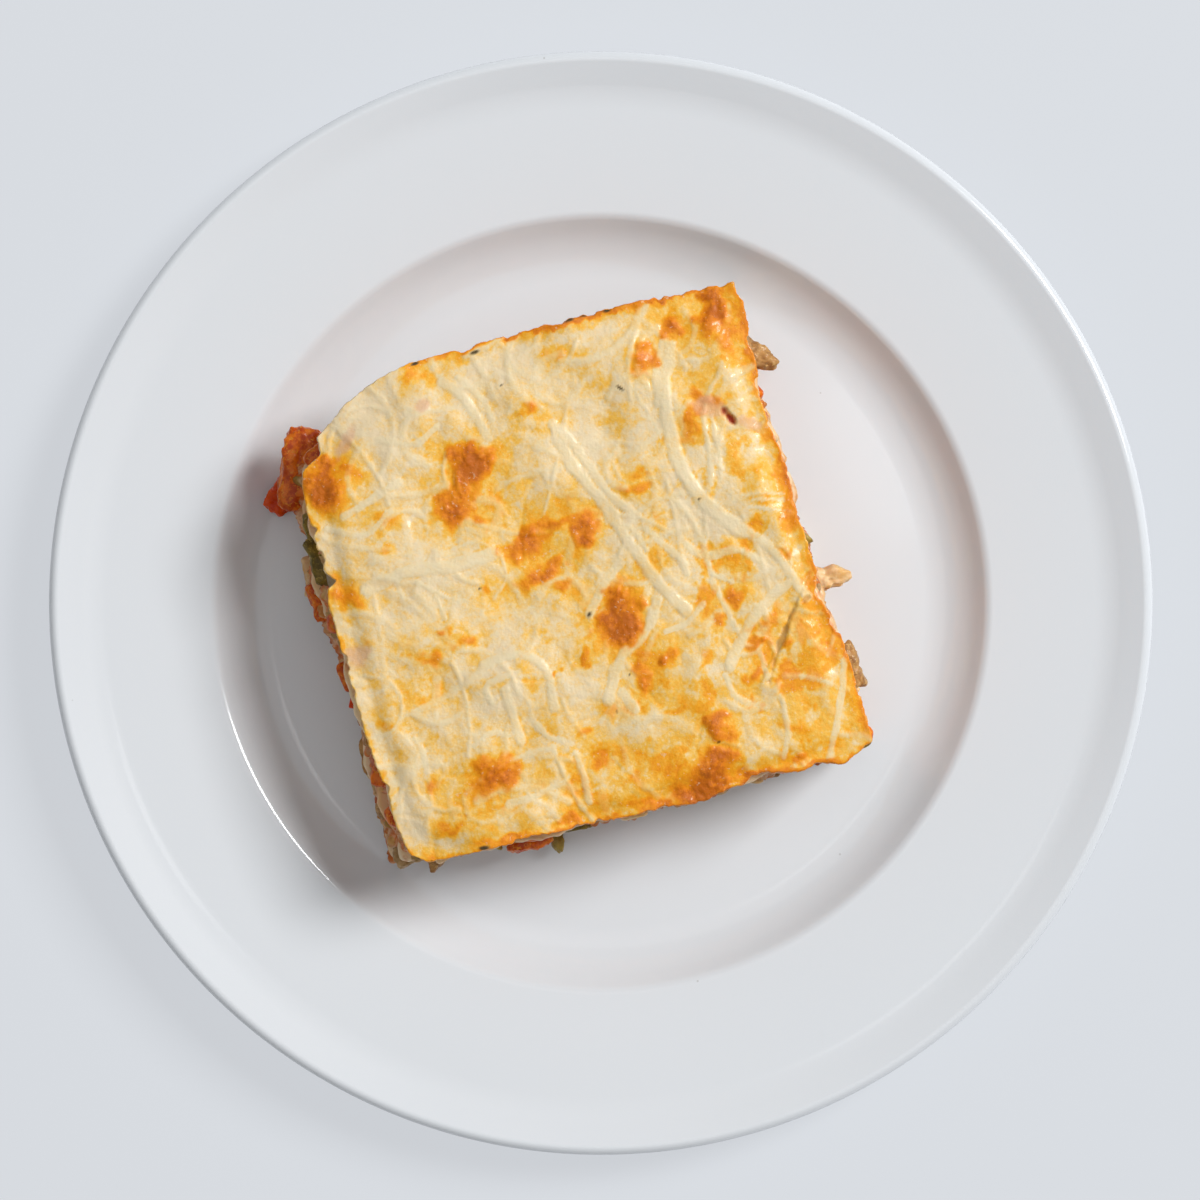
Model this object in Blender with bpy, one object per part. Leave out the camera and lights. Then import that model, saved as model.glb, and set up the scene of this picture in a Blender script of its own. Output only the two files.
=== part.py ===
"""A square slice of baked vegetable lasagne on a wide-rimmed white dinner plate.

Frame: +Z up, origin on the table under the middle of the plate. The plate stands on its foot ring and the
slice lies on the well's floor. Every size in this file is in millimetres, and make_object() turns the
finished points into Blender's metres.

The slice is a stack: four sheets of pasta with three layers of vegetable filling between them, and a baked
cheese topping. Each layer is a solid that runs right through the slice. The larger pieces of vegetable that
stand out of its sides are solids of their own in pockets of the filling.
"""

import math

import bmesh
import bpy
import numpy as np
from mathutils import Vector

METRES = 0.001
GAP = 0.3  # clearance between neighbouring solids

# Plate
PLATE_RADIUS = 130.0
WELL_FLOOR = 5.8  # height of the eating surface above the table
WELL_REACH = 76.5  # radius of the flat that the slice can lie on
PLATE_STEPS = 56
ARC_STEP = math.radians(26)
# Corners of the turned profile, from the middle of the well out over the lip and back under to the middle:
# radius, height, and the radius that rounds the corner.
PLATE_PROFILE = (
    (0.0, WELL_FLOOR, 0.0),
    (84.1, WELL_FLOOR, 18.4),
    (91.6, 12.6, 4.0),
    (119.5, 15.2, 25.0),
    (PLATE_RADIUS, 18.8, 1.9),
    (PLATE_RADIUS, 15.0, 1.9),
    (119.8, 11.3, 0.0),
    (94.0, 8.7, 5.0),
    (85.5, 2.2, 6.0),
    (77.0, 2.0, 0.0),
    (76.2, 0.0, 0.0),
    (71.3, 0.0, 0.0),
    (70.0, 2.0, 0.0),
    (0.0, 2.0, 0.0),
)

# Slice, seen from above with the back of the plate at +Y. The top is the edge of the cheese. The belly is the
# widest level, about a third of the way up, where the soft filling has spread.
TOP_OUTLINE = np.array([
    (-41.0, -59.0),  # front left corner
    (11.0, -47.4),
    (62.0, -31.5),  # front right corner
    (50.0, 4.0),
    (30.2, 73.0),  # back right corner
    (-14.0, 62.7),
    (-43.6, 54.3),  # the back left corner is cut round
    (-60.0, 43.0),
    (-67.0, 31.0),
    (-62.5, 4.0),
    (-56.0, -22.0),
])
BELLY_OUTLINE = np.array([
    (-48.7, -61.0),
    (11.4, -49.2),
    (63.6, -32.6),
    (51.6, 4.5),
    (30.6, 71.6),
    (-13.7, 61.7),
    (-43.6, 53.6),
    (-60.4, 42.9),
    (-71.4, 31.0),
    (-68.2, 4.5),
    (-58.7, -20.0),
])
MIDDLE = np.array((-3.5, 4.5))
OUTLINE_PITCH = 7.3  # spacing of the points round a layer
BELLY_TOP, SHOULDER = 0.35, 0.92  # shares of the height: widest up to one, as narrow as the top from the other
PASTA = 1.8
FILLINGS = (8.0, 8.0, 7.2)
CHEESE = 6.3
WAVE = 1.6  # how far a sheet rises or dips at its edge
WAVE_LENGTH = 30.0
INNER_RING = 0.6  # the ring of points between a layer's edge and its middle
EDGE_FALL = 1.5  # how far the topping rounds down at its edge

# Pieces fused to a filling's wall, as kind: (share of the pieces, length, width, height)
MIXED_PIECES = {
    "dice": (0.34, 6.4, 5.6, 5.0),
    "lump": (0.34, 5.2, 4.6, 4.4),
    "half_slice": (0.16, 9.5, 5.0, 2.6),
    "strip": (0.16, 11.0, 2.6, 3.4),
}
PIECES_A_LAYER = 27
PIECE_SINK = 0.28  # the share of its width by which a piece's middle lies inside the wall
PIECE_MARGIN = 1.2  # least height of filling between a piece and the sheets

# Strands of grated cheese that have kept their form: start, end, sideways bow, width
STRANDS = (
    ((-11.0, 40.2), (18.5, -0.5), -2.8, 3.6),
    ((-10.0, 40.4), (8.6, 20.8), 1.6, 3.0),
    ((14.6, 60.0), (31.9, 15.8), -7.0, 3.8),
    ((32.0, 14.8), (46.3, 1.4), 1.5, 3.4),
    ((21.3, 14.8), (30.9, 5.3), -6.0, 3.2),
    ((39.5, 7.3), (31.9, -8.2), -1.6, 3.2),
    ((48.9, 1.4), (39.2, -18.8), -2.6, 4.2),
    ((12.7, -1.3), (1.6, -21.6), -4.0, 3.4),
    ((5.0, -18.6), (7.4, -23.5), 0.0, 2.9),
    ((1.1, 7.3), (-5.5, -1.4), -0.8, 3.4),
    ((-26.7, -13.4), (-8.4, -29.2), 6.5, 3.2),
    ((-20.9, -21.7), (-19.0, -31.2), 0.5, 2.8),
    ((-5.5, -34.0), (-3.2, -48.0), 1.0, 2.8),
    ((-28.6, -50.4), (-5.5, -37.8), -1.6, 3.0),
    ((54.9, -13.0), (52.0, -36.0), 0.9, 3.0),
    ((41.5, -17.8), (54.0, -17.8), 0.0, 2.8),
    ((-64.0, 18.7), (-45.8, 27.4), -1.2, 3.0),
    ((-45.8, 4.3), (-24.7, 13.0), 1.4, 4.0),
    ((23.2, 44.7), (26.1, 28.3), 0.4, 2.4),
    ((31.0, 20.6), (42.0, 20.8), 0.3, 2.4),
)
STRAND_SIDES = 5
STRAND_PITCH = 8.0
STRAND_SINK = 0.15  # the strand's middle stands this far above the topping
# Blisters that rose and browned in the oven: middle, half length, half width, turn in degrees
BLISTERS = (
    ((-30.1, 29.5), 7.4, 4.6, 80),
    ((-14.0, 13.0), 8.0, 3.4, 20),
    ((5.0, -3.4), 5.8, 5.0, 60),
    ((25.1, 65.7), 7.0, 5.0, 100),
    ((-24.7, -37.8), 5.4, 3.8, 20),
    ((27.1, -27.3), 4.6, 3.4, 70),
    ((24.2, -38.6), 7.2, 4.2, 40),
    ((-63.0, 26.5), 4.4, 3.6, 90),
    ((22.3, 44.7), 4.0, 3.2, 0),
    ((30.9, 2.4), 3.2, 2.8, 0),
)
BLISTER_RISE = 1.3

# Larger pieces of vegetable: name: (shape, colour, filling, middle, length, width, height, turn in degrees)
LARGE_PIECES = {
    "tomato_wedge": ("block", "tomato", 1, (-70.2, 31.4), 19.5, 8.8, 7.0, 82),
    "tomato_tip": ("block", "red_skin", 0, (-75.6, 25.2), 8.0, 5.6, 5.0, 60),
    "courgette_piece": ("block", "olive", 2, (-64.6, 12.4), 17.5, 6.0, 5.6, 102),
    "tomato_piece_left": ("block", "tomato", 1, (-64.9, 0.6), 9.5, 5.6, 6.2, 108),
    "onion_piece_left": ("block", "onion", 0, (-67.6, 6.4), 10.0, 5.4, 5.4, 100),
    "mushroom_corner": ("block", "mushroom", 1, (-44.6, -58.3), 7.0, 5.4, 5.4, 20),
    "aubergine_tip": ("wedge", "aubergine", 0, (-38.6, -60.0), 8.0, 5.4, 5.2, 250),
    "tomato_piece_front": ("block", "tomato", 1, (-17.0, -54.6), 11.0, 6.0, 6.0, 12),
    "pepper_tip_front": ("wedge", "pepper", 0, (-10.6, -54.8), 8.0, 5.0, 5.0, 285),
    "aubergine_chunk": ("wedge", "aubergine", 2, (34.8, 57.0), 13.0, 9.5, 5.6, -15),
    "onion_point": ("wedge", "onion", 1, (52.4, 5.6), 13.0, 8.6, 6.0, 10),
    "aubergine_sliver": ("block", "aubergine", 2, (57.6, -14.6), 11.0, 4.6, 5.0, 112),
}
COLOURS = {
    "glaze": ((0.86, 0.86, 0.87), 0.12),
    "pasta": ((0.83, 0.66, 0.40), 0.45),
    "filling": ((0.42, 0.13, 0.04), 0.40),
    "cheese": ((0.84, 0.64, 0.31), 0.38),
    "tomato": ((0.40, 0.09, 0.02), 0.28),
    "red_skin": ((0.46, 0.06, 0.01), 0.25),
    "olive": ((0.12, 0.09, 0.02), 0.40),
    "onion": ((0.70, 0.46, 0.24), 0.35),
    "mushroom": ((0.30, 0.24, 0.17), 0.50),
    "aubergine": ((0.30, 0.16, 0.06), 0.45),
    "pepper": ((0.32, 0.25, 0.09), 0.40),
}

LATTICE_SIZE = 16
LATTICE = np.random.default_rng(11).uniform(-1, 1, (LATTICE_SIZE,) * 3)


def material(name):
    """A Principled material with the colour and roughness of one ingredient."""
    found = bpy.data.materials.get(name)
    if found:
        return found
    colour, roughness = COLOURS[name]
    made = bpy.data.materials.new(name)
    made.use_nodes = True
    shader = made.node_tree.nodes["Principled BSDF"]
    shader.inputs["Base Color"].default_value = (*colour, 1.0)
    shader.inputs["Roughness"].default_value = roughness
    shader.inputs["Metallic"].default_value = 0.0
    return made


def make_object(name, points, faces, colour):
    """One named object from points in millimetres, with its faces pointing out."""
    mesh = bpy.data.meshes.new(name)
    mesh.from_pydata([Vector(p) * METRES for p in points], [], faces)
    body = bmesh.new()
    body.from_mesh(mesh)
    bmesh.ops.recalc_face_normals(body, faces=body.faces)
    bmesh.ops.triangulate(body, faces=body.faces)
    body.to_mesh(mesh)
    body.free()
    mesh.materials.append(material(colour))
    made = bpy.data.objects.new(name, mesh)
    bpy.context.collection.objects.link(made)
    return made


def ease(low, high, value):
    """0 below low, 1 above high, and an easy curve between."""
    share = np.clip((value - low) / (high - low), 0.0, 1.0)
    return share * share * (3 - 2 * share)


def noise(x, y, z):
    """Smooth noise from -1 to 1: random values on a lattice, eased from each to the next."""
    spot = np.stack(np.broadcast_arrays(x, y, z), axis=-1).astype(float)
    cell = np.floor(spot).astype(int)
    share = spot - cell
    share = share * share * (3 - 2 * share)
    total = np.zeros(spot.shape[:-1])
    for corner in np.ndindex(2, 2, 2):
        near = (cell + corner) % LATTICE_SIZE
        weight = np.where(corner, share, 1 - share).prod(axis=-1)
        total += weight * LATTICE[near[..., 0], near[..., 1], near[..., 2]]
    return total


def rounded(corners):
    """A line through the corners, each one that has a radius replaced by an arc."""
    line = []
    for i, (r, z, radius) in enumerate(corners):
        here = Vector((r, z))
        if not radius:
            line.append(here)
            continue
        back = (Vector(corners[i - 1][:2]) - here).normalized()
        ahead = (Vector(corners[i + 1][:2]) - here).normalized()
        half = back.angle(ahead) / 2
        turn = math.pi - 2 * half
        middle = here + (back + ahead).normalized() * (radius / math.sin(half))
        first = here + back * (radius / math.tan(half)) - middle
        last = here + ahead * (radius / math.tan(half)) - middle
        steps = math.ceil(turn / ARC_STEP)
        for k in range(steps + 1):
            share = k / steps
            spoke = first * math.sin((1 - share) * turn) + last * math.sin(share * turn)
            line.append(middle + spoke / math.sin(turn))
    return line


def make_plate():
    """The plate: its profile turned about the vertical axis."""
    line = rounded(PLATE_PROFILE)
    mesh = bpy.data.meshes.new("plate")
    mesh.from_pydata(
        [(p.x * METRES, 0, p.y * METRES) for p in line], [(i, i + 1) for i in range(len(line) - 1)], []
    )
    mesh.materials.append(material("glaze"))
    plate = bpy.data.objects.new("plate", mesh)
    bpy.context.collection.objects.link(plate)
    turn = plate.modifiers.new("Turn", "SCREW")
    turn.steps = turn.render_steps = PLATE_STEPS
    turn.use_merge_vertices = True
    turn.merge_threshold = 0.00001
    turn.use_smooth_shade = True


def stack():
    """Each layer of the slice as name: (bottom, top), in heights above the table."""
    height = WELL_FLOOR + GAP
    layers = {}
    for n, filling in enumerate(FILLINGS, 1):
        layers[f"pasta_sheet_{n}"] = (height, height + PASTA)
        height += PASTA + GAP
        layers[f"filling_{n}"] = (height, height + filling)
        height += filling + GAP
    layers[f"pasta_sheet_{len(FILLINGS) + 1}"] = (height, height + PASTA)
    height += PASTA + GAP
    layers["cheese_topping"] = (height, height + CHEESE)
    return layers


STACK = stack()
BASE, CREST = STACK["pasta_sheet_1"][0], STACK["cheese_topping"][1]


def edge_places(pitch):
    """Places round the outline, about a pitch apart: corner numbers, and shares of the way to the next."""
    sides, shares = [], []
    lengths = np.linalg.norm(np.roll(TOP_OUTLINE, -1, axis=0) - TOP_OUTLINE, axis=1)
    for side, length in enumerate(lengths):
        steps = max(1, round(length / pitch))
        sides.append(np.full(steps, side))
        shares.append(np.arange(steps) / steps)
    return np.concatenate(sides), np.concatenate(shares)


def edge(places, height):
    """The outline at those places and one height, as the belly and the top blend into each other."""
    level = (height - BASE) / (CREST - BASE)
    corners = BELLY_OUTLINE + (TOP_OUTLINE - BELLY_OUTLINE) * ease(BELLY_TOP, SHOULDER, level)
    radius = np.linalg.norm(corners, axis=1, keepdims=True)
    reach = WELL_REACH + (radius - WELL_REACH) * ease(0.0, 0.2, level)
    corners *= np.minimum(radius, reach) / radius if level < 0.2 else 1.0
    sides, shares = places
    return corners[sides] + (corners[(sides + 1) % len(corners)] - corners[sides]) * shares[:, None]


def outward(row):
    """The level directions that leave the slice, one for each point of a closed row."""
    along = np.roll(row, -1, axis=0) - np.roll(row, 1, axis=0)
    along /= np.linalg.norm(along, axis=1, keepdims=True)
    return np.stack([along[:, 1], -along[:, 0]], axis=1)


def cut_edge(places, height, amount, scale):
    """The outline moved a little in and out, as an uneven cut and soft food leave it."""
    row = edge(places, height)
    uneven = amount * noise(row[:, 0] / scale, row[:, 1] / scale, height / scale + 7.0)
    return row + outward(row) * uneven[:, None]


def wave(x, y, height):
    """How far the layers rise or dip at a point: nothing on the plate, more towards the top."""
    grown = ease(0.0, 0.3, (height - BASE) / (CREST - BASE))
    return WAVE * grown * noise(x / WAVE_LENGTH, y / WAVE_LENGTH, height / WAVE_LENGTH)


def lifted(row, ring, height, sheet):
    """Points of a layer's face: flat in the middle of the slice and waved towards its edge."""
    x, y = row[:, 0], row[:, 1]
    return np.stack([x, y, height + wave(x, y, sheet) * ring**2], axis=1)


def layer_rows(places, bottom, top, sheets, shares, amount, scale):
    """Rows of points round a layer: one in its lower face, the wall's rows, and one in its upper face.

    sheets are the heights that the lower and the upper face take their waves from, so that faces that meet
    across a gap run side by side. shares are the parts of the wall's height that get a row of their own.
    """
    inner = MIDDLE + (edge(places, (BASE + CREST) / 2) - MIDDLE) * INNER_RING
    rows = [lifted(inner, INNER_RING, bottom, sheets[0])]
    for share in shares:
        height = bottom + (top - bottom) * share
        sheet = sheets[0] + (sheets[1] - sheets[0]) * share
        rows.append(lifted(cut_edge(places, height, amount, scale), 1.0, height, sheet))
    rows.append(lifted(inner, INNER_RING, top, sheets[1]))
    return rows


def closed_surface(rows, first, last):
    """Points and faces of rows joined one to the next, closed by a point at each end."""
    count = len(rows[0])
    points = np.concatenate([*rows, [first, last]])
    faces = []
    for r in range(len(rows) - 1):
        for i in range(count):
            j = (i + 1) % count
            faces.append((r * count + i, r * count + j, (r + 1) * count + j, (r + 1) * count + i))
    top_row = (len(rows) - 1) * count
    for i in range(count):
        j = (i + 1) % count
        faces.append((j, i, len(points) - 2))
        faces.append((top_row + i, top_row + j, len(points) - 1))
    return points, faces


def make_sheet(name):
    """A sheet of pasta: one thickness all over, its cut edge slightly ragged."""
    bottom, top = STACK[name]
    rows = layer_rows(edge_places(OUTLINE_PITCH), bottom, top, (bottom, bottom), (0.0, 1.0), 1.4, 9.0)
    points, faces = closed_surface(rows, (*MIDDLE, bottom), (*MIDDLE, top))
    make_object(name, points, faces, "pasta")


def cube(length, width, height, uneven, bevel, rng):
    """A cut block with uneven corners, its edges softened by a bevel where one is asked for."""
    body = bmesh.new()
    bmesh.ops.create_cube(body, size=1.0)
    if bevel:
        bmesh.ops.bevel(body, geom=body.edges[:], offset=bevel, segments=1, affect="EDGES")
    points = np.array([v.co[:] for v in body.verts])
    body.verts.index_update()
    faces = [tuple(v.index for v in f.verts) for f in body.faces]
    body.free()
    points += rng.uniform(-uneven, uneven, points.shape)
    return points * (length, width, height), faces


def dice(length, width, height, rng):
    """A cube of vegetable with uneven corners."""
    return cube(length, width, height, 0.12, 0.0, rng)


def block(length, width, height, rng):
    """A larger cut piece, its corners worn soft."""
    return cube(length * 0.94, width * 0.94, height * 0.94, 0.06, 0.2, rng)


def wedge(length, width, height, rng):
    """A larger piece that narrows to a blunt point at +X."""
    points, faces = block(length, width, height, rng)
    share = 0.5 + points[:, 0] / length
    taper = np.stack([np.ones(len(points)), 1.1 - 0.75 * share, 1.0 - 0.35 * share], axis=1)
    return points * taper, faces


def lump(length, width, height, rng):
    """A crumb of minced filling: a ball of twenty faces, uneven in size."""
    body = bmesh.new()
    bmesh.ops.create_icosphere(body, subdivisions=1, radius=0.5)
    points = np.array([v.co[:] for v in body.verts])
    body.verts.index_update()
    faces = [tuple(v.index for v in f.verts) for f in body.faces]
    body.free()
    return points * rng.uniform(0.85, 1.15, (len(points), 1)) * (length, width, height), faces


def bar(rows):
    """Faces of a bar made of equal rings of points, one after the other, and closed at both ends."""
    count = len(rows[0])
    last = (len(rows) - 1) * count
    faces = [tuple(range(count)), tuple(range(last, last + count))]
    for k in range(len(rows) - 1):
        for c in range(count):
            d = (c + 1) % count
            faces.append((k * count + c, k * count + d, (k + 1) * count + d, (k + 1) * count + c))
    return np.concatenate(rows), faces


def half_slice(length, width, height, rng):
    """A half moon of courgette: an arc with a straight side, as thick as height."""
    angle = np.linspace(0.0, math.pi, 5)
    x = 0.5 * length * np.cos(angle)
    y = width * (np.sin(angle) - 0.5)
    return bar([np.stack([x, y, np.full(len(angle), z)], axis=1) for z in (-height / 2, height / 2)])


def strip(length, width, height, rng):
    """A curved strip of onion or pepper: a flat bar bent sideways."""
    bow = length * rng.uniform(0.12, 0.3)
    rows = []
    for share in np.linspace(-1.0, 1.0, 4):
        x, y = share * length / 2, bow * (0.5 - share * share)
        corners = np.array([(0, -1, -1), (0, 1, -1), (0, 1, 1), (0, -1, 1)]) / 2
        rows.append(corners * (0, width, height) + (x, y, 0))
    return bar(rows)


SHAPES = {"dice": dice, "lump": lump, "half_slice": half_slice, "strip": strip, "block": block, "wedge": wedge}


def placed(points, turn, place):
    """The points turned about the vertical and moved."""
    cosine, sine = math.cos(turn), math.sin(turn)
    return points @ np.array([(cosine, sine, 0), (-sine, cosine, 0), (0, 0, 1)]) + place


def beside_large_piece(spot, number):
    """True where one of the larger pieces needs the room."""
    for _, _, filling, middle, length, *_ in LARGE_PIECES.values():
        if filling == number and np.linalg.norm(spot - middle) < length / 2 + 5.5:
            return True
    return False


def wall_pieces(number):
    """The mixed pieces in one filling's wall: (kind, size, share of the way round, rise, turn) of each."""
    rng = np.random.default_rng(20 + number)
    kinds = list(MIXED_PIECES)
    pieces = []
    for k in range(PIECES_A_LAYER):
        share = (k + rng.uniform(0.2, 0.8)) / PIECES_A_LAYER
        kind = rng.choice(kinds, p=[MIXED_PIECES[k][0] for k in kinds])
        size = MIXED_PIECES[kind][1:] * rng.uniform(0.85, 1.15, 3)
        pieces.append((kind, size, share, rng.uniform(-1, 1), rng.uniform(-0.5, 0.5)))
    return pieces


def make_wall_pieces(number):
    """Those pieces as solids, kept clear of the sheets below and above and of the larger pieces."""
    bottom, top = STACK[f"filling_{number + 1}"]
    height = (bottom + top) / 2
    row = edge(edge_places(OUTLINE_PITCH / 4), height)
    facing = outward(row)
    walked = np.cumsum(np.linalg.norm(np.roll(row, -1, axis=0) - row, axis=1))
    made = []
    for kind, size, share, rise, turn in wall_pieces(number):
        i = np.searchsorted(walked, share * walked[-1])
        out = facing[i]
        spot = row[i] - out * size[1] * PIECE_SINK
        if beside_large_piece(spot, number):
            continue
        room = max(0.0, (top - bottom) / 2 - size[2] / 2 - PIECE_MARGIN)
        place = (*spot, height + wave(*spot, height) + rise * room)
        points, faces = SHAPES[kind](*size, np.random.default_rng(i))
        points = placed(points, math.atan2(out[1], out[0]) + math.pi / 2 + turn, place)
        made.append(make_object("bit", points, faces, "filling"))
    return made


def combine(body, others, operation):
    """Applies one Boolean of the body with a collection of objects, and removes them."""
    bits = bpy.data.collections.new("bits")
    bpy.context.scene.collection.children.link(bits)
    for other in others:
        bits.objects.link(other)
    joint = body.modifiers.new("Combine", "BOOLEAN")
    joint.operation = operation
    joint.operand_type = "COLLECTION"
    joint.collection = bits
    joint.solver = "MANIFOLD"
    graph = bpy.context.evaluated_depsgraph_get()
    result = bpy.data.meshes.new_from_object(body.evaluated_get(graph))
    body.modifiers.clear()
    body.data = result
    for other in others:
        bpy.data.objects.remove(other)
    bpy.data.collections.remove(bits)
    keep_largest(result)


def keep_largest(mesh):
    """Drops loose scraps and the walls of sealed hollows, which a Boolean can leave."""
    body = bmesh.new()
    body.from_mesh(mesh)
    left = set(body.verts)
    islands = []
    while left:
        island, queue = set(), [next(iter(left))]
        while queue:
            v = queue.pop()
            if v in island:
                continue
            island.add(v)
            queue += [e.other_vert(v) for e in v.link_edges]
        left -= island
        islands.append(island)
    islands.sort(key=len)
    for island in islands[:-1]:
        bmesh.ops.delete(body, geom=list(island), context="VERTS")
    body.to_mesh(mesh)
    body.free()


def make_filling(number):
    """A layer of filling: a lumpy core with the pieces that show fused to its wall."""
    name = f"filling_{number + 1}"
    bottom, top = STACK[name]
    sheets = (bottom - GAP - PASTA, top + GAP)
    rows = layer_rows(edge_places(OUTLINE_PITCH), bottom, top, sheets, (0.0, 0.5, 1.0), 1.7, 6.5)
    points, faces = closed_surface(rows, (*MIDDLE, bottom), (*MIDDLE, top))
    core = make_object(name, points, faces, "filling")
    combine(core, make_wall_pieces(number), "UNION")
    return core


def ring_of(flat):
    """How far points lie from the middle of the top towards its edge, from 0 to 1."""
    sides = np.roll(TOP_OUTLINE, -1, axis=0) - TOP_OUTLINE
    normals = np.stack([sides[:, 1], -sides[:, 0]], axis=1)
    reach = ((TOP_OUTLINE - MIDDLE) * normals).sum(axis=1)
    return np.clip(((flat - MIDDLE) @ normals.T / reach).max(axis=-1), 0.0, 1.0)


def crest(flat):
    """Heights of the topping's upper face: soft hills that fall away at the rounded edge."""
    x, y = flat[..., 0], flat[..., 1]
    ring = ring_of(flat)
    hills = 1.1 * noise(x / 19.0, y / 19.0, 3.0) + 0.6 * noise(x / 9.0, y / 9.0, 8.0)
    fall = EDGE_FALL * ease(0.86, 1.0, ring) ** 2
    return CREST - 1.3 + hills - fall + wave(x, y, CREST) * ring**2


def make_strand(start, end, bow, width):
    """One strand of grated cheese: a flattened bar on a bowed line, half sunk in the topping."""
    start, end = np.array(start), np.array(end)
    along = end - start
    length = np.linalg.norm(along)
    across = np.array((-along[1], along[0])) / length
    angle = 2 * math.pi * (np.arange(STRAND_SIDES) + 0.25) / STRAND_SIDES
    rows = []
    for share in np.linspace(0.0, 1.0, max(2, round(length / STRAND_PITCH)) + 1):
        flat = start + along * share + across * bow * 4 * share * (1 - share)
        spots = flat + across * (np.cos(angle) * width / 2)[:, None]
        height = crest(flat) + STRAND_SINK + np.sin(angle) * width * 0.34
        rows.append(np.column_stack([spots, height]))
    points, faces = bar(rows)
    return make_object("strand", points, faces, "cheese")


def make_blister(middle, half_length, half_width, turn):
    """A low dome over a browned bubble."""
    body = bmesh.new()
    bmesh.ops.create_icosphere(body, subdivisions=2, radius=1.0)
    points = np.array([v.co[:] for v in body.verts]) * (half_length, half_width, BLISTER_RISE * 1.6)
    body.verts.index_update()
    faces = [tuple(v.index for v in f.verts) for f in body.faces]
    body.free()
    height = crest(np.array(middle)) - BLISTER_RISE * 0.6
    return make_object("blister", placed(points, math.radians(turn), (*middle, height)), faces, "cheese")


def make_cheese():
    """The baked topping: a thick crust with a rounded edge, its blisters and its strands of cheese."""
    bottom, top = STACK["cheese_topping"]
    sheet = STACK[f"pasta_sheet_{len(FILLINGS) + 1}"][0]
    places = edge_places(OUTLINE_PITCH)
    rows = layer_rows(places, bottom, top - 2.2, (sheet, sheet), (0.0, 0.55), 1.5, 6.0)[:-1]
    rim = cut_edge(places, top, 1.5, 6.0)
    for ring in (1.0, 0.95, 0.84, 0.68, 0.48, 0.24):
        row = MIDDLE + (rim - MIDDLE) * ring
        rows.append(np.column_stack([row, crest(row)]))
    points, faces = closed_surface(rows, (*MIDDLE, bottom), (*MIDDLE, crest(MIDDLE)))
    cheese = make_object("cheese_topping", points, faces, "cheese")
    relief = [make_blister(*sizes) for sizes in BLISTERS] + [make_strand(*sizes) for sizes in STRANDS]
    combine(cheese, relief, "UNION")


def make_large_piece(name, fillings):
    """A larger piece of vegetable, and the pocket that holds it, cut with clearance all round."""
    kind, colour, number, middle, length, width, height, turn = LARGE_PIECES[name]
    level = sum(STACK[f"filling_{number + 1}"]) / 2
    place = (*middle, level + wave(*middle, level))
    points, faces = SHAPES[kind](length, width, height, np.random.default_rng(sum(map(ord, name))))
    make_object(name, placed(points, math.radians(turn), place), faces, colour)
    room = 1 + 2.4 * GAP / np.array((length, width, height))
    cutter = make_object("pocket", placed(points * room, math.radians(turn), place), faces, colour)
    combine(fillings[number], [cutter], "DIFFERENCE")


def build():
    """Clears the scene and makes every piece."""
    for old in list(bpy.data.objects):
        bpy.data.objects.remove(old)
    make_plate()
    for n in range(len(FILLINGS) + 1):
        make_sheet(f"pasta_sheet_{n + 1}")
    fillings = [make_filling(n) for n in range(len(FILLINGS))]
    make_cheese()
    for name in LARGE_PIECES:
        make_large_piece(name, fillings)


build()
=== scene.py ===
# %% [markdown]
# # A slice of baked vegetable lasagne on a white dinner plate
#
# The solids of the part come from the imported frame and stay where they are. This lesson dresses them: every
# solid is replaced by a finer surface of the same form, worked out with numpy from the same sizes, and gets
# a finish made of shader nodes. All lengths below are in millimetres, and one helper turns finished points
# into Blender's metres.

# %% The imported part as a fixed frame
import math

import bpy
import numpy as np
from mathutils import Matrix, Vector


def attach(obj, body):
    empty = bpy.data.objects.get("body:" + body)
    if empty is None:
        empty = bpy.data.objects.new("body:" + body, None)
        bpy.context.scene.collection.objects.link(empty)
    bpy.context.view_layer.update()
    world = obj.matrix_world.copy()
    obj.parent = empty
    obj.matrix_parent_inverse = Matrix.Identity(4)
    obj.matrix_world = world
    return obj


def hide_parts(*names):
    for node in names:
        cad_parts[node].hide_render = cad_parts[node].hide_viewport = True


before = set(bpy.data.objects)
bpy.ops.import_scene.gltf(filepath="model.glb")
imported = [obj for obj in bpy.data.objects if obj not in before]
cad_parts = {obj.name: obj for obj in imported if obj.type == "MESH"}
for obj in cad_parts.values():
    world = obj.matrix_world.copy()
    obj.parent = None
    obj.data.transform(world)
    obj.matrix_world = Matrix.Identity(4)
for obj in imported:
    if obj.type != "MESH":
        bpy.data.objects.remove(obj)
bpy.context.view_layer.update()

MM = 0.001
NODES = set(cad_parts)
print("solids in the frame:", len(NODES))

# %% [markdown]
# ## Camera
#
# The photo was taken from straight above the plate. The rim is 1106 of the picture's 1200 pixels across, and
# a 260 mm plate seen from 850 mm above the table gives the lens below. The plate's middle sits one pixel
# right of the picture's middle and three and a half below it, so the camera stands that little to one side.

# %% Camera
CAMERA_HEIGHT = 850.0
RIM_LEVEL = 18.0
PICTURE_PIXELS = 1200
RIM_PIXELS = 1106
PLATE_RADIUS = 130.0
SENSOR = 36.0
CAMERA_ASIDE = (-0.2, 0.7)

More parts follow.
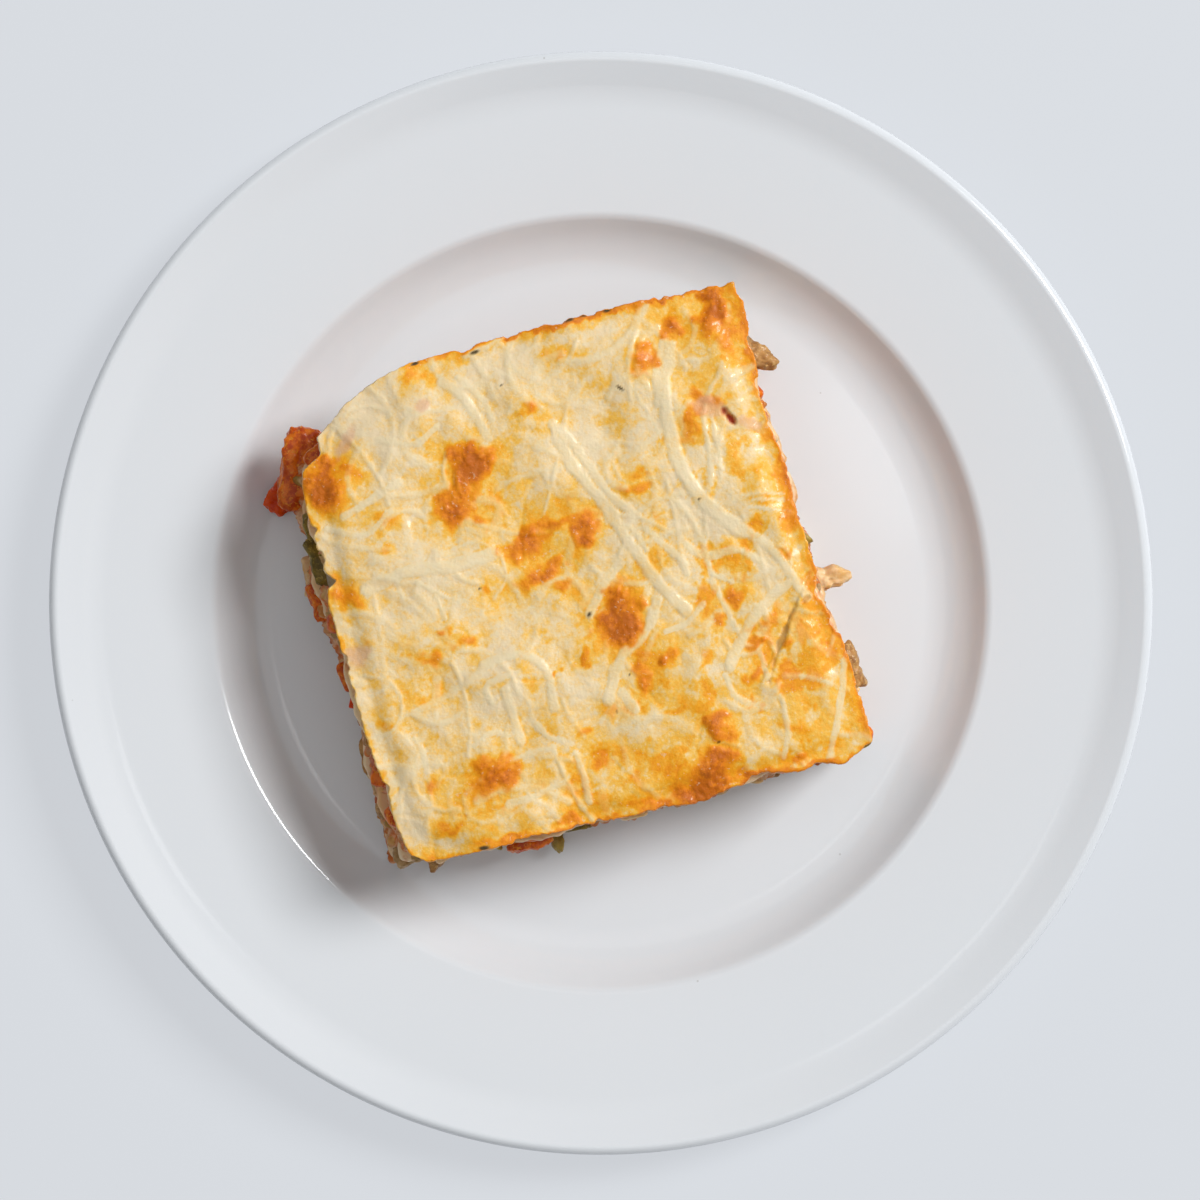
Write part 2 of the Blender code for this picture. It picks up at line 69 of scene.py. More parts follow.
picture_width = 2 * PLATE_RADIUS * PICTURE_PIXELS / RIM_PIXELS
camera_data = bpy.data.cameras.new("camera")
camera_data.sensor_width = SENSOR
camera_data.lens = SENSOR * (CAMERA_HEIGHT - RIM_LEVEL) / picture_width
camera = bpy.data.objects.new("camera", camera_data)
camera.location = (CAMERA_ASIDE[0] * MM, CAMERA_ASIDE[1] * MM, CAMERA_HEIGHT * MM)
bpy.context.scene.collection.objects.link(camera)
bpy.context.scene.camera = camera
print(f"picture is {picture_width:.0f} mm wide at the rim, lens {camera_data.lens:.1f} mm")

# %% [markdown]
# ## Shader sums as Python expressions
#
# A finish is a network of nodes, and written node by node it is hard to read. `Wire` wraps the output of a
# node, so that Python's own signs add the Math nodes: `1 - mask * 0.5` makes two of them. `Finish` holds one
# material and makes every other kind of node through a single method.

# %% Wires and finishes
class Wire:
    """The output of a shader node, which Python's signs can calculate with."""

    def __init__(self, finish, socket):
        self.finish = finish
        self.socket = socket

    def maths(self, operation, first, second):
        """A Math node on two values or wires."""
        return self.finish.node("Math", {"operation": operation}, {0: first, 1: second})

    def __add__(self, other):
        return self.maths("ADD", self, other)

    def __sub__(self, other):
        return self.maths("SUBTRACT", self, other)

    def __rsub__(self, other):
        return self.maths("SUBTRACT", other, self)

    def __mul__(self, other):
        return self.maths("MULTIPLY", self, other)

    __radd__ = __add__
    __rmul__ = __mul__


class Finish:
    """A material: its Principled shader, with fixed values set on it, and the nodes that feed it."""

    def __init__(self, name, **fixed):
        self.material = bpy.data.materials.new(name)
        self.material.use_nodes = True
        self.tree = self.material.node_tree
        self.shader = self.tree.nodes["Principled BSDF"]
        for words, value in fixed.items():
            self.shader.inputs[words.replace("_", " ").title().replace("Ior", "IOR")].default_value = value

    def node(self, kind, settings=None, sockets=None, output=0):
        """Any node: its settings first, then the values or wires of its sockets."""
        made = self.tree.nodes.new("ShaderNode" + kind)
        for name, value in (settings or {}).items():
            if name == "stops":
                self.set_stops(made.color_ramp, value)
            else:
                setattr(made, name, value)
        for name, value in (sockets or {}).items():
            if isinstance(value, Wire):
                self.tree.links.new(value.socket, made.inputs[name])
            else:
                made.inputs[name].default_value = value
        return Wire(self, made.outputs[output])

    @staticmethod
    def set_stops(ramp, stops):
        """Gives a colour ramp its stops, as (position, (red, green, blue))."""
        while len(ramp.elements) < len(stops):
            ramp.elements.new(0.5)
        for element, (position, colour) in zip(ramp.elements, stops):
            element.position = position
            element.color = (*colour, 1.0)

    def feed(self, socket, wire):
        """Links a wire to one of the Principled shader's sockets."""
        self.tree.links.new(wire.socket, self.shader.inputs[socket])

    def place(self):
        """Where a point lies on the object, in metres."""
        return self.node("TexCoord", output="Object")

    def field(self, name):
        """A number that the mesh carries at each of its points."""
        return self.node("Attribute", {"attribute_name": name}, output="Fac")

    def grain(self, size, detail=3.0, roughness=0.55, distortion=0.0):
        """Cloudy noise from 0 to 1 with features about size millimetres across."""
        sockets = {"Vector": self.place(), "Scale": 1 / (size * MM), "Detail": detail,
                   "Roughness": roughness, "Distortion": distortion}
        return self.node("TexNoise", None, sockets)

    def cells(self, size):
        """Distances to the nearest of scattered points that lie about size millimetres apart."""
        return self.node("TexVoronoi", {"feature": "F1"}, {"Vector": self.place(), "Scale": 1 / (size * MM)})

    def between(self, value, low, high):
        """0 where a value is below low, 1 above high, and an easy curve between."""
        sockets = {"Value": value, "From Min": low, "From Max": high}
        return self.node("MapRange", {"interpolation_type": "SMOOTHSTEP"}, sockets)

    def ramp(self, value, stops):
        """A colour read off a ramp."""
        return self.node("ValToRGB", {"stops": stops}, {"Fac": value})

    def mix(self, share, first, second):
        """Two colours mixed by a share."""
        sockets = {0: share, 6: self.opaque(first), 7: self.opaque(second)}
        return self.node("Mix", {"data_type": "RGBA"}, sockets, output=2)

    @staticmethod
    def opaque(colour):
        """A colour that is given as three numbers gets its fourth, which makes it solid."""
        return colour if isinstance(colour, Wire) else (*colour, 1.0)

    def bump(self, height, distance, strength=1.0):
        """Fine relief: height from 0 to 1 stands for distance millimetres."""
        sockets = {"Strength": strength, "Distance": distance * MM, "Height": height}
        self.feed("Normal", self.node("Bump", None, sockets))


# %% [markdown]
# ## Noise and easing in numpy
#
# The same soft noise shapes the solids and these surfaces, so a hill in one is a hill in the other: random
# values sit on a lattice, and an easy curve leads from each to the next. Layers of it at smaller and smaller
# sizes give food its lumps.

# %% Noise and easing
LATTICE_SIZE = 16
LATTICE = np.random.default_rng(11).uniform(-1, 1, (LATTICE_SIZE,) * 3)


def ease(low, high, value):
    """0 below low, 1 above high, and an easy curve between."""
    share = np.clip((value - low) / (high - low), 0.0, 1.0)
    return share * share * (3 - 2 * share)


def noise(x, y, z):
    """Smooth noise from -1 to 1: random values on a lattice, eased from each to the next."""
    spot = np.stack(np.broadcast_arrays(x, y, z), axis=-1).astype(float)
    cell = np.floor(spot).astype(int)
    share = spot - cell
    share = share * share * (3 - 2 * share)
    total = np.zeros(spot.shape[:-1])
    for corner in np.ndindex(2, 2, 2):
        near = (cell + corner) % LATTICE_SIZE
        weight = np.where(corner, share, 1 - share).prod(axis=-1)
        total += weight * LATTICE[near[..., 0], near[..., 1], near[..., 2]]
    return total


def lumps(x, y, z, size, layers=3, fade=0.5):
    """Noise in layers, each half the size of the one before and fade times as strong."""
    total = 0.0
    for k in range(layers):
        step = size / 2**k
        total = total + fade**k * noise(x / step + 3.7 * k, y / step, z / step + 1.3 * k)
    return total


# %% [markdown]
# ## Packed lumps
#
# Minced filling looks like pebbles in mortar, and blistered cheese like packed bubbles. A jittered lattice of
# centres gives both: each point belongs to its nearest centre, rises towards it, and sinks where two centres
# are equally near. The nearest centre's own random number travels with the point, so the shader can give
# every pebble one ingredient's colour.

# %% Packed lumps
def pebbles(x, y, z, size, seed):
    """Relief of packed lumps: 1 on a lump's top, 0 in the seams, and one random number for each lump.

    Every cell of a lattice holds one centre at a random place. A point compares the distances to the centres
    of its own cell and the 26 round it, and keeps the least two.
    """
    table = np.random.default_rng(seed).uniform(0, 1, (LATTICE_SIZE,) * 3 + (4,))
    spot = np.stack(np.broadcast_arrays(x, y, z), axis=-1) / size
    cell = np.floor(spot).astype(int)
    nearest = np.full(spot.shape[:-1], 9.0)
    second = nearest.copy()
    tint = np.zeros(spot.shape[:-1])
    for step in np.ndindex(3, 3, 3):
        beside = cell + step - 1
        near = beside % LATTICE_SIZE
        held = table[near[..., 0], near[..., 1], near[..., 2]]
        distance = np.linalg.norm(beside + held[..., :3] - spot, axis=-1)
        closer = distance < nearest
        second = np.where(closer, nearest, np.minimum(second, distance))
        nearest = np.where(closer, distance, nearest)
        tint = np.where(closer, held[..., 3], tint)
    return ease(0.0, 0.55, second - nearest), tint


# %% [markdown]
# ## Surfaces from arrays
#
# Every new piece is a set of points in rows, joined into quads by arithmetic on their numbers. A closed skin
# has rows that run right round and a point at each end. The helper that makes the mesh also checks which way
# the skin faces, by the sign of the volume that it encloses, and turns it round if it is inside out.

# %% Meshes from arrays
def ring_quads(rows, count, start=0):
    """Faces between rows of count points that each close on themselves."""
    r, i = np.meshgrid(np.arange(rows - 1), np.arange(count), indexing="ij")
    j = (i + 1) % count
    corners = [r * count + i, r * count + j, (r + 1) * count + j, (r + 1) * count + i]
    return start + np.stack(corners, axis=-1).reshape(-1, 4)


def fan(loop, tip):
    """Triangles from a closed loop of point numbers to one point."""
    return np.stack([loop, np.roll(loop, -1), np.full(len(loop), tip)], axis=-1)


def closed_skin(rows, first, last):
    """Points and faces of closed rows joined one to the next, with a point that closes each end."""
    count = rows.shape[1]
    points = np.concatenate([rows.reshape(-1, 3), [first, last]])
    top = (len(rows) - 1) * count + np.arange(count)
    faces = [ring_quads(len(rows), count), fan(np.arange(count), len(points) - 2)[:, ::-1]]
    return points, [*faces, fan(top, len(points) - 1)]


def enclosed_volume(mesh):
    """The volume inside a closed mesh, below zero where its faces point inwards."""
    mesh.calc_loop_triangles()
    corners = np.empty(len(mesh.loop_triangles) * 3, np.int32)
    mesh.loop_triangles.foreach_get("vertices", corners)
    points = np.empty(len(mesh.vertices) * 3, np.float32)
    mesh.vertices.foreach_get("co", points)
    a, b, c = points.reshape(-1, 3)[corners.reshape(-1, 3)].astype(float).transpose(1, 0, 2)
    return (a * np.cross(b, c)).sum() / 6


def add_piece(name, points, faces, finish, slot, replaced=(), fields=None):
    """A smooth piece of the object, with any numbers that its points carry for the shader."""
    mesh = bpy.data.meshes.new(name)
    mesh.from_pydata(points * MM, [], [face for group in faces for face in group.tolist()])
    if enclosed_volume(mesh) < 0:
        mesh.flip_normals()
    mesh.shade_smooth()
    for field, values in (fields or {}).items():
        mesh.attributes.new(field, "FLOAT", "POINT").data.foreach_set("value", values.astype(np.float32))
    mesh.materials.append(finish.material)
    piece = bpy.data.objects.new(name, mesh)
    bpy.context.scene.collection.objects.link(piece)
    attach(piece, "root")
    present = [node for node in replaced if node in NODES]
    if present:
        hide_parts(*present)
    print(f"{name}: {len(mesh.loop_triangles)} triangles")


# %% [markdown]
# ## Light and floor
#
# A large window up on the right lights the plate, with pale walls all round, so the slice throws one soft
# shadow to the left. Two small skylights almost overhead light nothing, and only show as faint window shapes
# in the glaze. The floor glows a little by itself, which keeps it an even pale blue-grey like the photo's
# background and leaves only a trace of the plate's shadow.

# %% Light and floor
# Each light: degrees round from the right, degrees up, metres away, width and depth in metres, watts
LIGHTS = {
    "window": (31.0, 46.0, 2.8, (0.85, 1.1), 66.0),
    "ceiling": (90.0, 89.0, 2.5, (2.4, 2.4), 9.0),
    "skylight": (27.0, 82.0, 2.2, (0.12, 0.22), 0.13),
    "far skylight": (135.0, 82.0, 2.2, (0.22, 0.15), 0.11),
}
ROOM_COLOUR, ROOM_LEVEL = (0.96, 0.98, 1.0, 1.0), 0.23
FLOOR_COLOUR = (0.16, 0.17, 0.18, 1.0)
FLOOR_GLOW, FLOOR_GLOW_LEVEL = (0.686, 0.708, 0.745, 1.0), 0.79
FLOOR_HALF = 2.0  # metres


def area_light(name, round_from_right, up, distance, size, power):
    """A rectangular light that faces the middle of the plate."""
    data = bpy.data.lights.new(name, "AREA")
    data.shape = "RECTANGLE"
    data.size, data.size_y = size
    data.energy = power
    light = bpy.data.objects.new(name, data)
    turn, rise = math.radians(round_from_right), math.radians(up)
    level = math.cos(rise)
    light.location = Vector((math.cos(turn) * level, math.sin(turn) * level, math.sin(rise))) * distance
    light.rotation_euler = light.location.to_track_quat("Z", "Y").to_euler()
    bpy.context.scene.collection.objects.link(light)


for name, placing in LIGHTS.items():
    area_light(name, *placing)
world = bpy.data.worlds.new("room")
world.use_nodes = True
room = world.node_tree.nodes["Background"]
room.inputs["Color"].default_value = ROOM_COLOUR
room.inputs["Strength"].default_value = ROOM_LEVEL
bpy.context.scene.world = world
bpy.context.scene.view_settings.view_transform = "Standard"

table = Finish("table top", roughness=0.9, specular_ior_level=0.1, base_color=FLOOR_COLOUR,
               emission_color=FLOOR_GLOW, emission_strength=FLOOR_GLOW_LEVEL)
floor_mesh = bpy.data.meshes.new("floor")
floor_corners = [(-1, -1, 0), (1, -1, 0), (1, 1, 0), (-1, 1, 0)]
floor_mesh.from_pydata([Vector(c) * FLOOR_HALF for c in floor_corners], [], [(0, 1, 2, 3)])
floor_mesh.materials.append(table.material)
floor = bpy.data.objects.new("floor", floor_mesh)
bpy.context.scene.collection.objects.link(floor)
print("floor and", len(LIGHTS), "lights are set")

# %% [markdown]
# ## The plate
#
# A dinner plate is thrown or pressed on a turning former, so it is a profile carried round an axis. The
# profile has the same corners as the solid: a flat well, a steep wall, a rounded shoulder, a wide rim that
# lifts into an outer band, a rolled lip, and a foot ring underneath. Each corner is rounded by an arc, here
# in fine steps, and 360 spokes make the lip a true circle.

# %% The plate's turned profile
WELL_FLOOR = 5.8
WELL_REACH = 76.5
ARC_STEP = math.radians(3)
PLATE_SPOKES = 360
# The profile's corners, from the middle of the well round to the middle of the underside: how far out, how
# high, and the radius of the arc that rounds the corner
PLATE_PROFILE = (
    (0.0, WELL_FLOOR, 0.0),
    (40.0, WELL_FLOOR, 0.0),
    (84.1, WELL_FLOOR, 18.4),
    (91.6, 12.6, 4.0),
    (119.5, 15.2, 25.0),
    (PLATE_RADIUS, 18.8, 1.9),
    (PLATE_RADIUS, 15.0, 1.9),
    (119.8, 11.3, 12.0),
    (94.0, 8.7, 5.0),
    (85.5, 2.2, 6.0),
    (77.0, 2.0, 0.4),
    (76.2, 0.0, 0.5),
    (71.3, 0.0, 0.5),
    (70.0, 2.0, 0.4),
    (35.0, 2.0, 0.0),
    (0.0, 2.0, 0.0),
)


def rounded(corners):
    """A line through the corners, each one that has a radius replaced by an arc in fine steps."""
    line = []
    for i, (r, z, radius) in enumerate(corners):
        here = Vector((r, z))
        if not radius:
            line.append(here)
            continue
        back = (Vector(corners[i - 1][:2]) - here).normalized()
        ahead = (Vector(corners[i + 1][:2]) - here).normalized()
        half = back.angle(ahead) / 2
        turn = math.pi - 2 * half
        middle = here + (back + ahead).normalized() * (radius / math.sin(half))
        first = here + back * (radius / math.tan(half)) - middle
        last = here + ahead * (radius / math.tan(half)) - middle
        steps = max(3, math.ceil(turn / ARC_STEP))
        for k in range(steps + 1):
            share = k / steps
            spoke = first * math.sin((1 - share) * turn) + last * math.sin(share * turn)
            line.append(middle + spoke / math.sin(turn))
    return np.array(line)


def turned(line, spokes):
    """The profile carried round the axis: x is radius times cosine, y is radius times sine."""
    angle = np.arange(spokes) * 2 * math.pi / spokes
    radius, height = line[1:-1, 0, None], line[1:-1, 1, None]
    rows = np.stack([radius * np.cos(angle), radius * np.sin(angle), height + 0 * angle], axis=-1)
    return closed_skin(rows, (0, 0, line[0, 1]), (0, 0, line[-1, 1]))


# %% [markdown]
# White glaze is smooth glass over white clay. The clay gives the colour, and a clear coat over it gives the
# reflections of the window. Knives leave hair-fine grey marks in patches, and the odd dark speck is burnt in.
# A knife mark is noise that is stretched 14 times as long as it is wide, of which only the crests show.

# %% The plate's glaze
CLAY_SHADES = ((0.745, 0.773, 0.804), (0.765, 0.79, 0.82))
WEAR_COLOUR = (0.42, 0.41, 0.40)
MARK_TURN, MARK_STRETCH = 0.9, 14
glaze = Finish("white glaze", coat_weight=0.5, coat_roughness=0.05, ior=1.52)
speck = 1 - glaze.between(glaze.cells(16.0), 0.012, 0.02)
marks_place = glaze.node("Mapping", None, {"Vector": glaze.place(), "Rotation": (0, 0, MARK_TURN),
                                           "Scale": (MARK_STRETCH, 1, 1)})
marks = glaze.node("TexNoise", None, {"Vector": marks_place, "Scale": 170.0, "Detail": 2.0,
                                      "Distortion": 0.4})
marks_patch = glaze.between(glaze.grain(38.0, 1.0), 0.52, 0.62)
mark = glaze.between(marks, 0.715, 0.74) * marks_patch
clay = glaze.mix(glaze.grain(60.0, 2.0), *CLAY_SHADES)
glaze.feed("Base Color", glaze.mix(mark * 0.12 + speck * 0.5, clay, WEAR_COLOUR))
glaze.feed("Roughness", 0.15 + mark * 0.2)
glaze.bump(glaze.grain(9.0, 2.0), 0.05, 0.25)

plate_points, plate_faces = turned(rounded(PLATE_PROFILE), PLATE_SPOKES)
add_piece("dinner_plate", plate_points, plate_faces, glaze, "glaze", ["plate"])

# %% [markdown]
# ## The slice's outline
#
# Four cut sides, each traced as a line of points in the plan: the cheese's own ragged edge at the top, and
# the wider belly lower down where the soft filling has spread. Any height in between is a blend of the two,
# so every layer takes its outline from one function, just as the solids do.

# %% The outline at any height
TOP_SIDES = {
    "front": [(-39.4, -59.2), (-30.1, -57.1), (-23.2, -55.5), (-9.4, -52.1), (-0.2, -50.2), (11.2, -47.5),
              (20.4, -45.9), (26.2, -44.5), (33.0, -41.8), (36.5, -38.9), (45.7, -38.5), (51.4, -36.5),
              (55.5, -36.9), (57.6, -35.1), (62.2, -31.6)],
    "right": [(62.2, -31.6), (59.9, -23.4), (57.1, -14.2), (54.4, -6.2), (50.7, -0.4), (49.1, 3.5),
              (49.3, 9.2), (45.0, 19.1), (42.0, 32.4), (38.8, 39.7), (36.3, 46.6), (35.8, 52.3),
              (34.6, 58.1), (32.4, 68.9), (31.2, 70.2), (30.3, 73.3)],
    "back": [(30.3, 73.3), (8.9, 68.9), (-14.0, 63.1), (-27.8, 59.2), (-43.8, 54.6), (-49.6, 51.7),
             (-54.2, 48.9), (-58.8, 44.8), (-60.6, 42.4)],
    "left": [(-60.6, 42.4), (-65.3, 37.4), (-65.0, 34.2), (-68.0, 29.9), (-68.2, 27.1), (-67.2, 21.6),
             (-66.1, 17.7), (-64.7, 17.0), (-65.6, 15.2), (-63.1, 6.9), (-60.4, 5.1), (-62.2, 3.2),
             (-62.2, 0.0), (-60.4, -6.6), (-57.8, -15.6), (-53.7, -30.0), (-51.6, -36.2),
             (-49.1, -42.7), (-46.8, -50.9), (-43.8, -57.4), (-39.4, -59.2)],
}
BELLY_SIDES = {
    "front": [(-48.7, -61.0), (11.4, -49.2), (63.6, -32.6)],
    "right": [(63.6, -32.6), (51.6, 4.5), (30.6, 71.6)],
    "back": [(30.6, 71.6), (-13.7, 61.7), (-43.6, 53.6), (-60.4, 42.9)],
    "left": [(-60.4, 42.9), (-71.4, 31.0), (-68.2, 4.5), (-58.7, -20.0), (-48.7, -61.0)],
}
MIDDLE = np.array((-3.5, 4.5))
SIDE_STEPS = 276  # points along each side
BELLY_TOP, SHOULDER = 0.35, 0.92  # where the belly starts and ends drawing in, in shares of the height
GAP = 0.3  # between one layer and the next
PASTA = 1.8
FILLINGS = (8.0, 8.0, 7.2)
CHEESE = 6.3
WAVE = 1.6
WAVE_LENGTH = 30.0


def spaced(corners, steps):
    """Points at equal steps along a line through the corners, the last one left to the next side."""
    corners = np.array(corners)
    walked = np.concatenate([[0.0], np.cumsum(np.linalg.norm(np.diff(corners, axis=0), axis=1))])
    along = np.arange(steps) / steps * walked[-1]
    return np.stack([np.interp(along, walked, corners[:, k]) for k in (0, 1)], axis=1)


def smoothed(loop, reach):
    """A closed row of points averaged over reach neighbours to each side."""
    return sum(np.roll(loop, k, axis=0) for k in range(-reach, reach + 1)) / (2 * reach + 1)


TOP_LOOP = smoothed(np.concatenate([spaced(side, SIDE_STEPS) for side in TOP_SIDES.values()]), 1)
EVEN_TOP_LOOP = smoothed(TOP_LOOP, 24)
BELLY_LOOP = smoothed(np.concatenate([spaced(side, SIDE_STEPS) for side in BELLY_SIDES.values()]), 3)


def stack():
    """Each layer of the slice as name: (bottom, top), in heights above the table."""
    height = WELL_FLOOR + GAP
    layers = {}
    for n, filling in enumerate(FILLINGS, 1):
        layers[f"pasta_sheet_{n}"] = (height, height + PASTA)
        height += PASTA + GAP
        layers[f"filling_{n}"] = (height, height + filling)
        height += filling + GAP
    layers[f"pasta_sheet_{len(FILLINGS) + 1}"] = (height, height + PASTA)
    height += PASTA + GAP
    layers["cheese_topping"] = (height, height + CHEESE)
    return layers


STACK = stack()
BASE, CREST = STACK["pasta_sheet_1"][0], STACK["cheese_topping"][1]


def outline(height):
    """The closed outline at one height: belly and top blended, and drawn in onto the well's flat floor."""
    level = (height - BASE) / (CREST - BASE)
    loop = BELLY_LOOP + (EVEN_TOP_LOOP - BELLY_LOOP) * ease(BELLY_TOP, SHOULDER, level)
    radius = np.linalg.norm(loop, axis=1, keepdims=True)
    reach = WELL_REACH + np.maximum(radius - WELL_REACH, 0) * ease(0.0, 0.2, level)
    return loop * np.minimum(1.0, reach / radius)


def outward(loop):
    """The level directions that leave the slice, taken from a smoothed copy of the loop."""
    soft = smoothed(loop, 8)
    along = np.roll(soft, -3, axis=0) - np.roll(soft, 3, axis=0)
    along /= np.linalg.norm(along, axis=1, keepdims=True)
    return np.stack([along[:, 1], -along[:, 0]], axis=1)


# How far the filling is tucked in under the cheese along each side, where the photo shows none of it
TUCK = {"front": 0.5, "right": 0.8, "back": 2.2, "left": -0.2}
tuck = smoothed(np.repeat(list(TUCK.values()), SIDE_STEPS), 30)


def wave(x, y, height):
    """How far the layers rise or dip at a point: nothing on the plate, more towards the top."""
    grown = ease(0.0, 0.3, (height - BASE) / (CREST - BASE))
    return WAVE * grown * noise(x / WAVE_LENGTH, y / WAVE_LENGTH, height / WAVE_LENGTH)


print(f"slice from {BASE:.1f} to {CREST:.1f} mm, {len(TOP_LOOP)} points round it")
